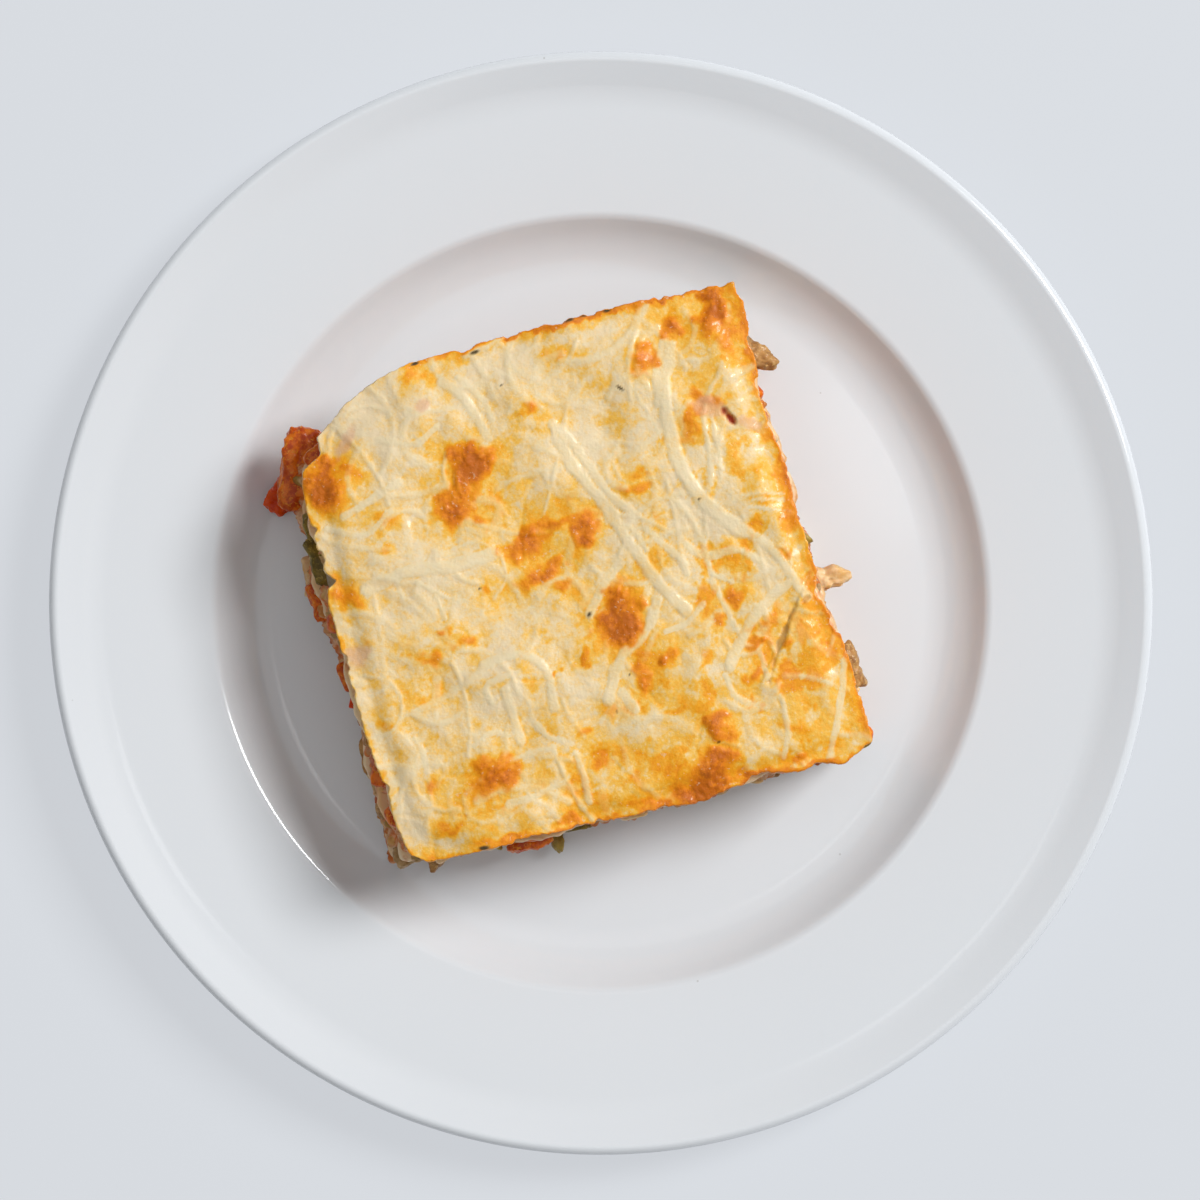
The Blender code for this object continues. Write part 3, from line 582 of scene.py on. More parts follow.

# %% [markdown]
# ## The baked cheese: where things are
#
# The topping is what the photo shows best, so its marks are placed one by one, in millimetres from the
# plate's middle. Each brown patch has a middle, two half widths, a turn in degrees and how dark it baked: 1
# is a dark blister and 0.2 only a golden bloom. Each strand of grated cheese is a width and a line of points.

# %% Brown patches and strands
PATCHES = (
    (25.1, 67.3, 3.1, 4.8, 0, 1.0), (28.2, 60.9, 3.3, 4.3, 0, 0.62), (31.1, 68.1, 1.7, 3.9, 0, 0.45),
    (16.4, 63.8, 2.4, 2.7, 0, 0.8), (9.4, 56.3, 2.7, 3.5, 0, 0.7), (7.9, 67.9, 3.3, 1.7, 10, 0.7),
    (-16.2, 43.8, 2.3, 2.1, 0, 0.6), (-16.2, 43.5, 6.0, 4.1, 0, 0.3), (-9.4, 56.3, 3.9, 1.7, 20, 0.38),
    (-40.8, 52.7, 3.9, 3.3, 0, 0.4), (-29.9, 32.4, 4.1, 4.4, 0, 1.0), (-30.2, 28.5, 3.9, 3.9, 0, 0.95),
    (-32.8, 21.7, 4.4, 4.4, 0, 0.8), (-27.3, 18.4, 2.9, 1.7, 0, 0.55), (-63.1, 26.1, 3.9, 5.8, 10, 0.95),
    (-62.4, 31.4, 2.9, 1.9, 0, 0.85), (-56.8, 30.7, 3.3, 1.5, 10, 0.55), (-18.3, 12.9, 5.0, 3.5, 25, 0.8),
    (-10.9, 16.9, 5.8, 1.7, 25, 0.72), (-3.6, 16.4, 2.7, 3.5, 0, 0.85), (-13.1, 7.1, 6.0, 2.5, 25, 0.8),
    (-8.0, 3.9, 2.1, 1.5, 0, 0.6), (5.1, -3.4, 5.0, 6.0, 0, 1.0), (3.1, -6.3, 3.9, 3.9, 0, 0.95),
    (8.4, 30.4, 5.0, 1.5, 10, 0.42), (7.9, 26.6, 3.9, 1.4, 0, 0.6), (12.3, 20.8, 1.5, 1.4, 0, 0.45),
    (23.9, 46.9, 5.4, 1.7, -10, 0.6), (21.5, 41.5, 1.7, 4.1, 0, 0.68), (40.8, 29.5, 4.1, 4.1, 0, 0.5),
    (43.2, 20.8, 2.1, 7.2, -5, 0.62), (30.6, 1.9, 2.7, 2.7, 0, 0.72), (26.3, -3.4, 1.7, 1.7, 0, 0.62),
    (24.4, -1.0, 1.4, 1.4, 0, 0.5), (38.9, -3.4, 3.5, 2.1, 40, 0.55), (36.9, -9.0, 3.3, 1.5, 0, 0.68),
    (42.7, -9.7, 1.7, 2.5, 0, 0.65), (33.5, -16.4, 4.3, 2.1, 0, 0.52), (36.7, -15.2, 1.4, 1.4, 0, 0.66),
    (15.2, -11.6, 2.1, 1.9, 0, 0.66), (8.9, -16.9, 2.5, 3.5, 0, 0.66), (9.9, -12.1, 2.3, 1.9, 0, 0.5),
    (-3.2, -12.6, 1.4, 1.7, 0, 0.6), (-3.6, -7.2, 1.5, 2.9, 0, 0.4), (3.1, -24.6, 1.9, 1.7, 0, 0.5),
    (17.6, -23.7, 3.5, 1.7, 10, 0.55), (27.3, -28.0, 3.1, 3.1, 0, 0.85), (27.3, -34.8, 4.6, 2.9, 0, 0.75),
    (24.4, -40.6, 7.7, 3.9, 35, 0.92), (22.9, -43.5, 3.9, 2.3, 20, 0.85), (44.7, -36.0, 3.9, 1.7, 10, 0.62),
    (53.3, -3.2, 1.9, 1.5, 0, 0.7), (46.6, -2.4, 5.8, 4.4, 0, 0.36), (45.1, -28.3, 4.3, 1.4, 0, 0.48),
    (47.6, -22.7, 4.8, 3.9, 0, 0.32), (49.5, -17.9, 5.8, 4.8, 0, 0.3), (-23.9, -38.3, 5.4, 3.5, 15, 0.78),
    (-25.9, -41.0, 6.8, 3.5, 15, 0.5), (-34.6, -51.2, 2.9, 2.1, 0, 0.6), (-37.9, -42.0, 1.7, 2.1, 0, 0.45),
    (-49.0, 17.9, 3.3, 2.3, 0, 0.42), (-48.6, 12.1, 2.3, 1.7, 0, 0.42), (-58.7, 1.5, 3.7, 3.5, 0, 0.62),
    (-27.3, 3.4, 1.5, 1.4, 0, 0.5), (-38.4, -12.1, 2.7, 1.9, 0, 0.55), (-44.4, -12.6, 1.5, 1.2, 0, 0.5),
    (-30.7, -8.7, 2.1, 2.1, 0, 0.52), (-39.4, -14.0, 8.7, 4.8, 15, 0.3), (-39.9, -20.3, 7.7, 4.4, 0, 0.34),
    (-36.0, -6.8, 1.0, 0.9, 0, 0.55), (-49.5, -27.0, 1.4, 1.4, 0, 0.4), (-37.0, -30.9, 1.2, 1.0, 0, 0.42),
    (-0.7, -35.4, 2.3, 2.5, 0, 0.58), (-3.8, -29.0, 2.3, 1.4, 0, 0.5), (9.9, -31.9, 1.2, 1.0, 0, 0.42),
    (15.2, -36.2, 3.9, 3.9, 0, 0.36), (7.0, -40.6, 3.5, 1.5, 0, 0.42), (-11.9, -39.6, 1.9, 1.5, 0, 0.32),
    (-6.5, -49.7, 3.3, 1.4, 15, 0.62), (-10.4, -14.5, 0.9, 0.8, 0, 0.6), (-53.9, -9.7, 1.2, 1.2, 0, 0.42),
    (0.2, -45.9, 6.8, 2.5, 10, 0.4), (9.9, -45.9, 5.8, 2.3, 10, 0.55), (-21.0, -53.6, 8.7, 1.4, 10, 0.6),
    (52.4, -33.3, 3.9, 2.9, 20, 0.4), (58.2, -29.5, 2.5, 3.3, 0, 0.4), (33.1, -43.5, 2.9, 1.5, 10, 0.6),
    (22.0, 38.2, 3.9, 2.5, 0, 0.4), (-9.4, 21.7, 11.6, 5.8, 20, 0.24), (-15.2, 5.3, 12.6, 5.8, 20, 0.26),
    (-21.0, 24.6, 5.8, 4.8, 0, 0.22), (28.2, 52.7, 6.8, 5.8, 0, 0.22), (36.0, 24.6, 5.8, 6.8, 0, 0.25),
    (25.3, -8.2, 6.8, 4.8, 0, 0.28), (14.7, -17.9, 6.8, 5.8, 0, 0.3), (4.1, -35.3, 8.7, 7.7, 0, 0.28),
    (-9.4, -28.5, 4.8, 5.8, 0, 0.22), (-28.8, -43.0, 10.6, 5.8, 10, 0.3), (36.9, -25.6, 5.8, 4.8, 0, 0.28),
    (50.5, -8.2, 6.8, 7.7, 0, 0.3), (55.3, -22.7, 4.8, 8.7, 0, 0.26), (-53.9, 20.8, 4.8, 4.8, 0, 0.2),
    (-23.0, 38.2, 7.7, 4.8, 0, 0.2), (-39.4, 37.2, 2.9, 5.8, 0, 0.22), (-44.2, -32.4, 5.8, 5.8, 0, 0.16),
    (13.7, 11.1, 3.9, 3.9, 0, 0.2), (30.6, 62.4, 6.4, 7.6, 0, 0.42), (34.2, 52.0, 4.2, 6.4, 10, 0.3),
)
STRANDS = (
    (3.1, (-10.9, 40.6), (-6.5, 31.4), (0.2, 23.2), (7.0, 13.0), (13.7, 3.9), (19.5, -1.6)),
    (2.3, (-9.6, 40.1), (-4.1, 33.3), (2.2, 24.6), (8.4, 20.0)),
    (3.5, (15.9, 60.6), (14.5, 47.8), (16.8, 35.1), (21.0, 26.1), (26.3, 20.8), (32.6, 16.4)),
    (2.1, (13.9, 59.4), (12.8, 52.7), (13.0, 45.4)),
    (2.5, (32.6, 16.9), (39.1, 12.1), (44.2, 5.1), (47.1, 1.3)),
    (1.3, (23.2, 43.5), (24.6, 34.3), (25.1, 27.1)),
    (1.1, (25.3, 42.8), (27.1, 33.3), (27.3, 28.5)),
    (2.7, (42.7, 4.5), (36.4, -1.0), (32.1, -8.2), (29.2, -14.2)),
    (2.9, (12.8, 0.7), (10.4, -6.1), (4.6, -12.6), (1.8, -21.9)),
    (2.5, (4.9, -20.6), (7.9, -24.2)),
    (2.3, (-26.8, -14.2), (-21.0, -11.9), (-15.2, -12.6), (-12.0, -16.4), (-10.6, -23.9)),
    (2.5, (-21.8, -20.0), (-20.1, -25.4), (-18.3, -31.6)),
    (1.7, (-24.9, -22.7), (-25.9, -18.8), (-21.0, -16.4)),
    (1.8, (-58.7, 19.6), (-52.1, 23.7), (-45.8, 27.7)),
    (3.5, (-53.4, 3.2), (-44.2, 7.1), (-34.6, 8.4), (-24.9, 11.1)),
    (1.5, (-46.9, 5.3), (-45.2, 1.5)),
    (1.4, (-41.8, 4.8), (-34.6, 1.0)),
    (1.5, (-37.5, 1.5), (-35.5, -3.4)),
    (2.3, (4.3, 9.4), (0.4, 3.6), (-2.5, -2.6)),
    (1.7, (55.5, -13.2), (54.5, -23.7), (52.4, -35.4)),
    (1.4, (42.0, -16.5), (47.1, -16.9), (52.6, -18.1)),
    (1.9, (-5.6, -34.5), (-3.8, -40.1), (-2.5, -45.5)),
    (0.8, (6.5, 50.1), (10.4, 43.8), (13.7, 37.8)),
    (0.8, (34.5, 23.7), (43.9, 23.5)),
    (0.8, (34.0, 21.9), (43.2, 21.0)),
    (0.7, (35.2, 25.1), (41.8, 25.0)),
    (1.9, (17.6, 15.9), (20.7, 12.1), (25.3, 10.6)),
    (1.7, (24.4, 10.5), (31.1, 12.1), (36.9, 9.2)),
    (1.9, (10.1, 16.9), (17.6, 10.5), (19.7, 6.8)),
    (1.3, (25.3, 5.1), (28.2, -0.5), (31.3, -6.5)),
    (1.5, (14.9, -6.5), (19.5, -4.5), (23.4, 0.0)),
    (1.5, (22.9, 15.5), (25.3, 7.3), (29.7, 4.8)),
    (2.5, (-36.3, 50.5), (-30.7, 45.9), (-25.7, 37.8)),
    (1.7, (-32.6, 51.5), (-27.3, 46.9), (-24.9, 42.0)),
    (1.5, (-28.8, -32.4), (-24.9, -29.5), (-21.0, -30.2)),
    (1.6, (-42.3, -30.9), (-40.5, -34.3), (-39.6, -38.6)),
    (1.7, (-15.2, -27.5), (-11.9, -30.4), (-8.5, -31.4)),
    (1.4, (31.1, -8.7), (36.0, -11.1), (37.9, -16.9)),
    (1.5, (1.2, 18.8), (7.0, 16.9), (10.4, 12.1)),
    (1.4, (28.2, -16.4), (31.1, -21.7), (37.9, -23.7)),
    (1.7, (-21.0, -45.9), (-15.2, -43.9), (-8.5, -41.0)),
    (1.3, (40.8, -20.8), (42.7, -28.5), (41.8, -35.3)),
    (1.7, (-50.5, 37.2), (-42.3, 36.2), (-37.5, 40.1)),
    (1.5, (-62.6, 16.9), (-53.9, 15.5), (-48.1, 20.8)),
)
CRACKS = (
    ((47.6, 1.5), (43.9, -1.6), (41.8, -6.7), (40.0, -11.6), (38.5, -17.9)),
    ((-60.8, 4.5), (-51.0, 4.2), (-43.2, 3.4)),
)
# Where the sauce shows: one torn hole, and places where it stains the cheese from below
HOLES = ((29.4, 42.4, 2.3, 0.8, -50),)
PINK_PATCHES = ((24.6, 44.6, 3.6, 2.4, -15), (33.4, 41.2, 4.0, 1.6, -15), (-58.4, 36.4, 3.6, 1.6, 60),
                (-55.4, -12.0, 3.0, 3.0, 0), (57.4, 6.4, 2.0, 3.0, 0), (-40.6, 45.0, 1.6, 1.6, 0))
# Pepper and herbs in the cheese, and crumbs burnt on at its back edge
FLECKS = ((-2.6, -2.6, 0.7, 0.5, 60), (4.4, 49.0, 1.1, 0.4, -30), (-22.7, 49.6, 0.35, 0.3, 0),
          (22.4, 23.6, 0.4, 0.3, 0), (26.8, -31.6, 0.35, 0.3, 0), (-28.8, 57.2, 1.3, 0.45, 20),
          (-42.4, 54.6, 1.0, 0.4, 20), (-7.6, 64.6, 1.6, 0.6, 15), (-3.4, 65.8, 1.3, 0.5, 15),
          (1.4, 66.8, 1.1, 0.6, 15), (-26.6, -55.8, 1.5, 0.6, 10), (45.2, 31.0, 0.4, 0.3, 0),
          (6.5, -16.2, 0.3, 0.25, 0), (3.6, -24.8, 0.3, 0.25, 0), (-27.6, 3.2, 0.35, 0.3, 0))
# How brown the rim of the topping is along each side, in even steps from the side's start to its end
RIM_TOAST = {
    "front": (0.45, 0.6, 0.7, 0.74, 0.68, 0.72, 0.78, 0.95, 0.9, 0.68, 0.74, 0.62),
    "right": (0.66, 0.6, 0.66, 0.74, 0.62, 0.45, 0.76, 0.78, 0.45, 0.66, 0.72, 0.6),
    "back": (0.5, 0.65, 0.8, 0.78, 0.8, 0.82, 0.76, 0.72, 0.6, 0.2, 0.05, 0.0),
    "left": (0.0, 0.0, 0.55, 0.3, 0.1, 0.4, 0.34, 0.25, 0.34, 0.3, 0.34, 0.42),
}
print(len(PATCHES), "patches and", len(STRANDS), "strands")

# %% [markdown]
# ## The baked cheese: its surface
#
# The top face is a grid stretched over the four ragged sides, the way a membrane is stretched over a bent
# frame: each point blends the two pairs of opposite sides, and the corners, counted twice, are taken away
# once. Heights are then added from the same hills as the solid, plus the strands, blisters, cracks and
# crumb that a solid with few faces can't hold. The same distances that shape a strand also colour it, so
# they are stored on the points for the shader.

# %% The top face as a grid between its sides
EDGE_FALL = 1.2
RING_POWER = 18  # how sharply the four falling edges meet at the corners
# The corners of the convex shape that the top's edge falls away along
OUTLINE = np.array([(-41.0, -59.0), (11.0, -47.4), (62.0, -31.5), (50.0, 4.0), (30.2, 73.0), (-14.0, 62.7),
                    (-43.6, 54.3), (-60.0, 43.0), (-67.0, 31.0), (-62.5, 4.0), (-56.0, -22.0)])


def membrane(loop, falloff=None):
    """A square grid of points between the four sides of a closed loop.

    Each point is what the front and back sides give, blended across, plus what the left and right sides give,
    less the corners, which both pairs hold. With a falloff in shares of the side, each side reaches only that
    far in, which carries small moves of the rim into the grid and lets them fade.
    """
    n = SIDE_STEPS
    closed = np.concatenate([loop, loop[:1]])
    front, right, back, left = (closed[k * n:(k + 1) * n + 1] for k in range(4))
    back, left = back[::-1], left[::-1]
    share = np.linspace(0, 1, n + 1)
    weights = (1 - share, share)
    if falloff:
        weights = (ease(falloff, 0, share), ease(1 - falloff, 1, share))
    u0, u1 = (w[:, None, None] for w in weights)
    v0, v1 = (w[None, :, None] for w in weights)
    across = front[:, None] * v0 + back[:, None] * v1
    along = left[None] * u0 + right[None] * u1
    corners = front[0] * u0 * v0 + front[-1] * u1 * v0 + back[0] * u0 * v1 + back[-1] * u1 * v1
    return across + along - corners


def ring_of(flat):
    """How far points lie from the middle of the top towards its edge, from 0 to 1, rounded at the corners.

    A point's share of the way to each side is worked out, and the shares are joined as a power mean does:
    each raised to a high power, added up, and the root of the sum taken.
    """
    sides = np.roll(OUTLINE, -1, axis=0) - OUTLINE
    normals = np.stack([sides[:, 1], -sides[:, 0]], axis=1)
    reach = ((OUTLINE - MIDDLE) * normals).sum(axis=1)
    near = np.maximum((flat - MIDDLE) @ normals.T / reach, 0.0)
    return np.clip((near**RING_POWER).sum(axis=-1) ** (1 / RING_POWER), 0.0, 1.0)


def crest(flat):
    """Heights of the topping's upper face: soft hills that fall away at the rounded edge."""
    x, y = flat[..., 0], flat[..., 1]
    ring = ring_of(flat)
    hills = 1.1 * noise(x / 19.0, y / 19.0, 3.0) + 0.6 * noise(x / 9.0, y / 9.0, 8.0)
    fall = EDGE_FALL * ease(0.9, 1.0, ring) ** 1.7
    return CREST - 1.3 + hills - fall + wave(x, y, CREST) * ring**2


def distance_to_line(flat, line):
    """The distance from each point to a bent line: the least of the distances to its straight runs."""
    best = np.full(flat.shape[:-1], np.inf)
    for start, end in zip(line[:-1], line[1:]):
        run = end - start
        share = np.clip(((flat - start) @ run) / (run @ run), 0.0, 1.0)
        gap = np.linalg.norm(flat - start - share[..., None] * run, axis=-1)
        best = np.minimum(best, gap)
    return best


def softly_bent(corners, steps=10):
    """A smooth line through points: each stretch is a cubic that leaves along its neighbours' direction."""
    p = np.array(corners, float)
    p = np.concatenate([[2 * p[0] - p[1]], p, [2 * p[-1] - p[-2]]])
    t = np.linspace(0, 1, steps, endpoint=False)[:, None]
    line = []
    for a, b, c, d in zip(p[:-3], p[1:-2], p[2:-1], p[3:]):
        line.append(0.5 * (2 * b + (c - a) * t + (2 * a - 5 * b + 4 * c - d) * t**2
                           + (3 * b - a - 3 * c + d) * t**3))
    return np.concatenate([*line, p[-2:-1]])


# %% Fields over the top: toast, strands, cracks
HALO_REACH = 2.6  # how far the golden halo round a brown patch reaches, in the patch's own half widths
HALO_LEVEL = 0.55
MELTED_STRANDS = 260
FLAP_HEIGHT = 0.5


def in_ellipse(x, y, middle_x, middle_y, wide, deep, turn):
    """Where points lie in a turned ellipse: along it and across it, each in its own half widths."""
    cosine, sine = math.cos(math.radians(turn)), math.sin(math.radians(turn))
    along = ((x - middle_x) * cosine + (y - middle_y) * sine) / wide
    across = ((y - middle_y) * cosine - (x - middle_x) * sine) / deep
    return along, across


def toast_field(flat):
    """How far the cheese is baked: ellipses with wandering, grainy edges in golden halos.

    A patch is a cone that fades out at 2.3 half widths, plus an eased disc that gives it a dark middle.
    Patches that overlap are joined softly, as the fourth root of the sum of their fourth powers.
    """
    x, y = flat[..., 0], flat[..., 1]
    wander_x = x + 1.7 * noise(x / 3.4, y / 3.4, 20.0) + 0.7 * noise(x / 1.4, y / 1.4, 22.0)
    wander_y = y + 1.7 * noise(x / 3.4, y / 3.4, 31.0) + 0.7 * noise(x / 1.4, y / 1.4, 35.0)
    toast = np.zeros(x.shape)
    halo = np.zeros(x.shape)
    for *middle, wide, deep, turn, dark in PATCHES:
        along, across = in_ellipse(wander_x, wander_y, *middle, wide, deep, turn)
        reach = np.hypot(along, across)
        cone, disc = np.clip(1 - reach / 2.3, 0, 1), ease(1.85, 0.25, reach)
        toast += (dark * (0.40 * cone + 0.68 * disc)) ** 4
        spread = np.hypot(along * wide, across * deep) / (0.5 * (wide + deep) + 1.2)
        halo = 1 - (1 - halo) * (1 - 0.42 * dark * ease(HALO_REACH, 0.6, spread))
    return np.maximum(toast**0.25 * (1 + 0.16 * lumps(x, y, 12.0, 2.3, 3, 0.7)), HALO_LEVEL * halo)


def sunk_strand(flat, line, width, seed):
    """One strand that has half melted in: the points near it, and 0 at its edges to 1 along its middle.

    Across the strand the form is a parabola, 1 less the square of the distance in half widths.
    """
    near = np.abs(flat - line.mean(axis=0)).max(axis=-1) < np.ptp(line, axis=0).max() / 2 + 4
    spots = flat[near]
    uneven = 1 + 0.25 * noise(spots[:, 0] / 3.0, spots[:, 1] / 3.0, seed)
    gap = distance_to_line(spots, line) + 0.3 * noise(spots[:, 0] / 1.6, spots[:, 1] / 1.6, seed + 4)
    return near, np.clip(1 - (gap / (width / 2 * uneven)) ** 2, 0.0, 1.0)


def strand_field(flat):
    """Height of the strands above the topping, how much of a strand each point is, and the groove beside it.

    The strands that stand out are given one by one. Between them lie many that have nearly melted
    away, scattered by a seeded rule: bent lines of 8 to 26 mm, each with its own depth.
    """
    height, share, groove = np.zeros((3, *flat.shape[:-1]))
    for width, *corners in STRANDS:
        near, form = sunk_strand(flat, softly_bent(corners), width * 1.15, width * 9)
        height[near] = np.maximum(height[near], ease(0.0, 0.9, form) * (0.06 + 0.06 * width))
        share[near] = np.maximum(share[near], ease(0.0, 0.75, form))
        groove[near] = np.maximum(groove[near] * (form < 0.3), ease(0.0, 0.1, form) * ease(0.34, 0.12, form))
    rng = np.random.default_rng(5)
    for _ in range(MELTED_STRANDS):
        start = rng.uniform((-66, -58), (62, 72))
        heading, bend = rng.uniform(0, 2 * math.pi), rng.normal(0, 0.5)
        length, width, depth = rng.uniform(8, 26), rng.uniform(1.2, 2.6), rng.uniform(0.04, 0.16)
        turns = heading + bend * np.arange(4)
        steps = np.stack([np.cos(turns), np.sin(turns)], axis=1) * length / 4
        line = softly_bent(np.concatenate([[start], start + np.cumsum(steps, axis=0)]), 4)
        near, form = sunk_strand(flat, line, width, depth * 90)
        height[near] = np.maximum(height[near], form * depth * 1.5)
        share[near] = np.maximum(share[near], ease(0.1, 0.9, form) * depth * 5.0)
    return height, share, groove


def crack_field(flat):
    """How close each point is to a crack, from 0 to 1, and the height of the flap beside the first one.

    Both ease off with the distance to the crack's line, which noise makes crooked.
    """
    x, y = flat[..., 0], flat[..., 1]
    crooked = 0.6 * noise(x / 1.5, y / 1.5, 2.0)
    gaps = [distance_to_line(flat, softly_bent(line)) + crooked for line in CRACKS]
    close = np.maximum(ease(0.8, 0.1, gaps[0]), 0.25 * ease(1.4, 0.2, gaps[1]))
    right_of_crack = x - 40.0 - 0.45 * (y + 8.0) > 1.0
    return close, FLAP_HEIGHT * ease(4.5, 0.0, gaps[0]) * right_of_crack


def blotches(flat, ellipses, uneven=0.35):
    """How much each point belongs to a set of ellipses, given as middle, two half widths and a turn."""
    x, y = flat[..., 0], flat[..., 1]
    found = np.zeros(x.shape)
    for ellipse in ellipses:
        reach = np.hypot(*in_ellipse(x, y, *ellipse)) + uneven * noise(x / 1.2, y / 1.2, 15.0)
        found = np.maximum(found, ease(1.25, 0.55, reach))
    return found


def rim_toast():
    """The toast of the rim at each point of the closed loop."""
    sides = [np.interp(np.linspace(0, 1, SIDE_STEPS, endpoint=False), np.linspace(0, 1, len(steps)), steps)
             for steps in RIM_TOAST.values()]
    return smoothed(np.concatenate(sides), 6)


# %% The grid of the top face, with its ragged rim
RAGGED_RIM = 0.9  # how deep the crumbling of the cut rim goes
RIM_REACH = 0.09  # the share of a side over which the rim's unevenness fades out
crumbled = ease(0.2, 1.1, lumps(TOP_LOOP[:, 0], TOP_LOOP[:, 1], 5.0, 5.0, 3, 0.7))
crumbled += 0.35 * np.abs(lumps(TOP_LOOP[:, 0], TOP_LOOP[:, 1], 9.0, 2.1, 2, 0.6))
ragged_loop = TOP_LOOP - outward(TOP_LOOP) * (RAGGED_RIM * crumbled)[:, None]
flat = membrane(EVEN_TOP_LOOP) + membrane(ragged_loop - EVEN_TOP_LOOP, RIM_REACH)
x, y = flat[..., 0], flat[..., 1]
print("points in the top face:", x.size)

# %% What lies where on it
toast = toast_field(flat)
strand_height, strand, groove = strand_field(flat)
crack, flap = crack_field(flat)
hole = blotches(flat, HOLES)
pink = blotches(flat, PINK_PATCHES)
fleck = blotches(flat, FLECKS, 0.15)
blister = ease(0.42, 0.9, toast)
crumb = lumps(x, y, 50.0, 3.0, 4, 0.6)
bent_x = x + 3.0 * noise(x / 8.0, y / 8.0, 4.0)
bent_y = y + 3.0 * noise(x / 8.0, y / 8.0, 14.0)
folds = 1 - np.abs(noise(bent_x / 6.5, bent_y / 6.5, 60.0)) * 2
creases = ease(0.72, 1.0, folds) * ease(-0.2, 0.5, noise(x / 15.0, y / 15.0, 90.0))
swells = lumps(x, y, 30.0, 7.0, 2, 0.5)
bubbles, _ = pebbles(x, y, 0.0, 1.9, 3)
print(f"{(toast > 0.5).mean():.0%} of the top is brown, {(strand > 0.3).mean():.0%} of it strands")

# %% Its heights
SWELL_HEIGHT, CRUMB_HEIGHT, BLISTER_HEIGHT = 0.42, 0.11, 0.38
BUBBLE_HEIGHT, BLISTER_ROUGHNESS = 0.26, 0.2
GROOVE_DEPTH, CREASE_DEPTH, CRACK_DEPTH, HOLE_DEPTH = 0.13, 0.16, 0.7, 1.5
beside_strands = 1 - 0.8 * ease(0.0, 0.6, strand)
blistered = BUBBLE_HEIGHT * (bubbles - 0.6) + BLISTER_ROUGHNESS * noise(x / 1.9, y / 1.9, 70.0)
height = crest(flat) + SWELL_HEIGHT * swells + strand_height - GROOVE_DEPTH * groove
height += (CRUMB_HEIGHT * crumb - CREASE_DEPTH * creases) * beside_strands
height += blister * (BLISTER_HEIGHT + blistered)
height += flap - CRACK_DEPTH * crack - HOLE_DEPTH * hole
grid_points = np.concatenate([flat, height[..., None]], axis=-1).reshape(-1, 3)
print(f"top face from {height.min():.1f} to {height.max():.1f} mm")

# %% The wall under its rim, and all its faces
WALL_ROWS = 12
WALL_SWELL = 0.35
n = SIDE_STEPS
numbers = np.arange((n + 1) ** 2).reshape(n + 1, n + 1)
rim_numbers = np.concatenate([numbers[:-1, 0], numbers[-1, :-1], numbers[:0:-1, -1], numbers[0, :0:-1]])
rim_loop = grid_points[rim_numbers]
rim_out = outward(rim_loop[:, :2])
bottom = STACK["cheese_topping"][0]
sheet_top = bottom + wave(rim_loop[:, 0], rim_loop[:, 1], STACK["pasta_sheet_4"][0])
down = np.linspace(0, 1, WALL_ROWS + 1)[1:, None]
wall_z = rim_loop[:, 2] * (1 - down) + sheet_top * down
swell = WALL_SWELL * np.sin(np.pi * np.clip(down * 1.1, 0, 1)) ** 0.7
rough = lumps(rim_loop[:, 0], rim_loop[:, 1], wall_z * 1.6, 2.6, 3, 0.6) * ease(0.0, 0.3, down)
wall_xy = rim_loop[None, :, :2] + rim_out[None] * (swell + 0.4 * rough - 0.7 * np.abs(rough))[..., None]
wall_points = np.concatenate([wall_xy, wall_z[..., None]], axis=-1)
under = np.array([(*MIDDLE, bottom)])
points = np.concatenate([grid_points, wall_points.reshape(-1, 3), under])
wall_numbers = len(grid_points) + np.arange(WALL_ROWS * 4 * n).reshape(WALL_ROWS, -1)
rows = np.concatenate([rim_numbers[None], wall_numbers])
grid_faces = np.stack([numbers[:-1, :-1], numbers[1:, :-1], numbers[1:, 1:], numbers[:-1, 1:]], axis=-1)
wall_faces = np.stack([rows[:-1], rows[1:], np.roll(rows[1:], -1, 1), np.roll(rows[:-1], -1, 1)], axis=-1)
faces = [grid_faces.reshape(-1, 4), wall_faces.reshape(-1, 4), fan(rows[-1], len(points) - 1)[:, ::-1]]
print("points in the topping:", len(points))

# %% How brown the topping is towards its rim
rim_side = np.zeros((n + 1, n + 1))
loop_toast = rim_toast()
u, v = np.meshgrid(np.linspace(0, 1, n + 1), np.linspace(0, 1, n + 1), indexing="ij")
to_side = {"front": v, "right": 1 - u, "back": 1 - v, "left": u}
along_side = {"front": u, "right": v, "back": 1 - u, "left": 1 - v}
GRID_PITCH = 0.38  # millimetres between the grid's points near the rim
BAND = {"front": 3.6, "right": 4.6, "back": 2.4, "left": 1.1}  # how wide the brown rim is on each side
WASH = {"front": 0.52, "right": 0.66, "back": 0.5, "left": 0.3}  # how golden the cheese is next to that rim
ragged = 1.6 * lumps(x, y, 44.0, 3.0, 3, 0.7)
for k, side in enumerate(to_side):
    here = np.interp(along_side[side] * n, np.arange(n), loop_toast[k * n:(k + 1) * n])
    inside = to_side[side] * n * GRID_PITCH + ragged
    band = BAND[side] * (1 + 0.5 * noise(x / 6.0, y / 6.0, 77.0))
    wash = WASH[side] * ease(2.6 * band, 0.3, inside)
    rim_side = np.maximum(rim_side, here * np.maximum(ease(band, -0.2, inside), wash))
print(f"the rim's toast is {rim_side.max():.2f} at most")

# %% What each point of the topping carries for the shader
# The slice baked hotter on its right, so the golden clouds grow stronger that way
right = ease(-35.0, 45.0, x - 0.45 * y)
warm = (0.13 + 0.36 * right) * ease(0.0, 1.0, lumps(x, y, 12.0, 6.0, 4, 0.7) + 0.15 * right)
toast_and_hollow_shade = np.maximum(np.maximum(toast, rim_side), warm)
# Painted shade: the hollows of the swells and the crumb are made a little browner
toast_and_hollow_shade += 0.08 * ease(0.3, -0.7, swells + 0.5 * crumb)
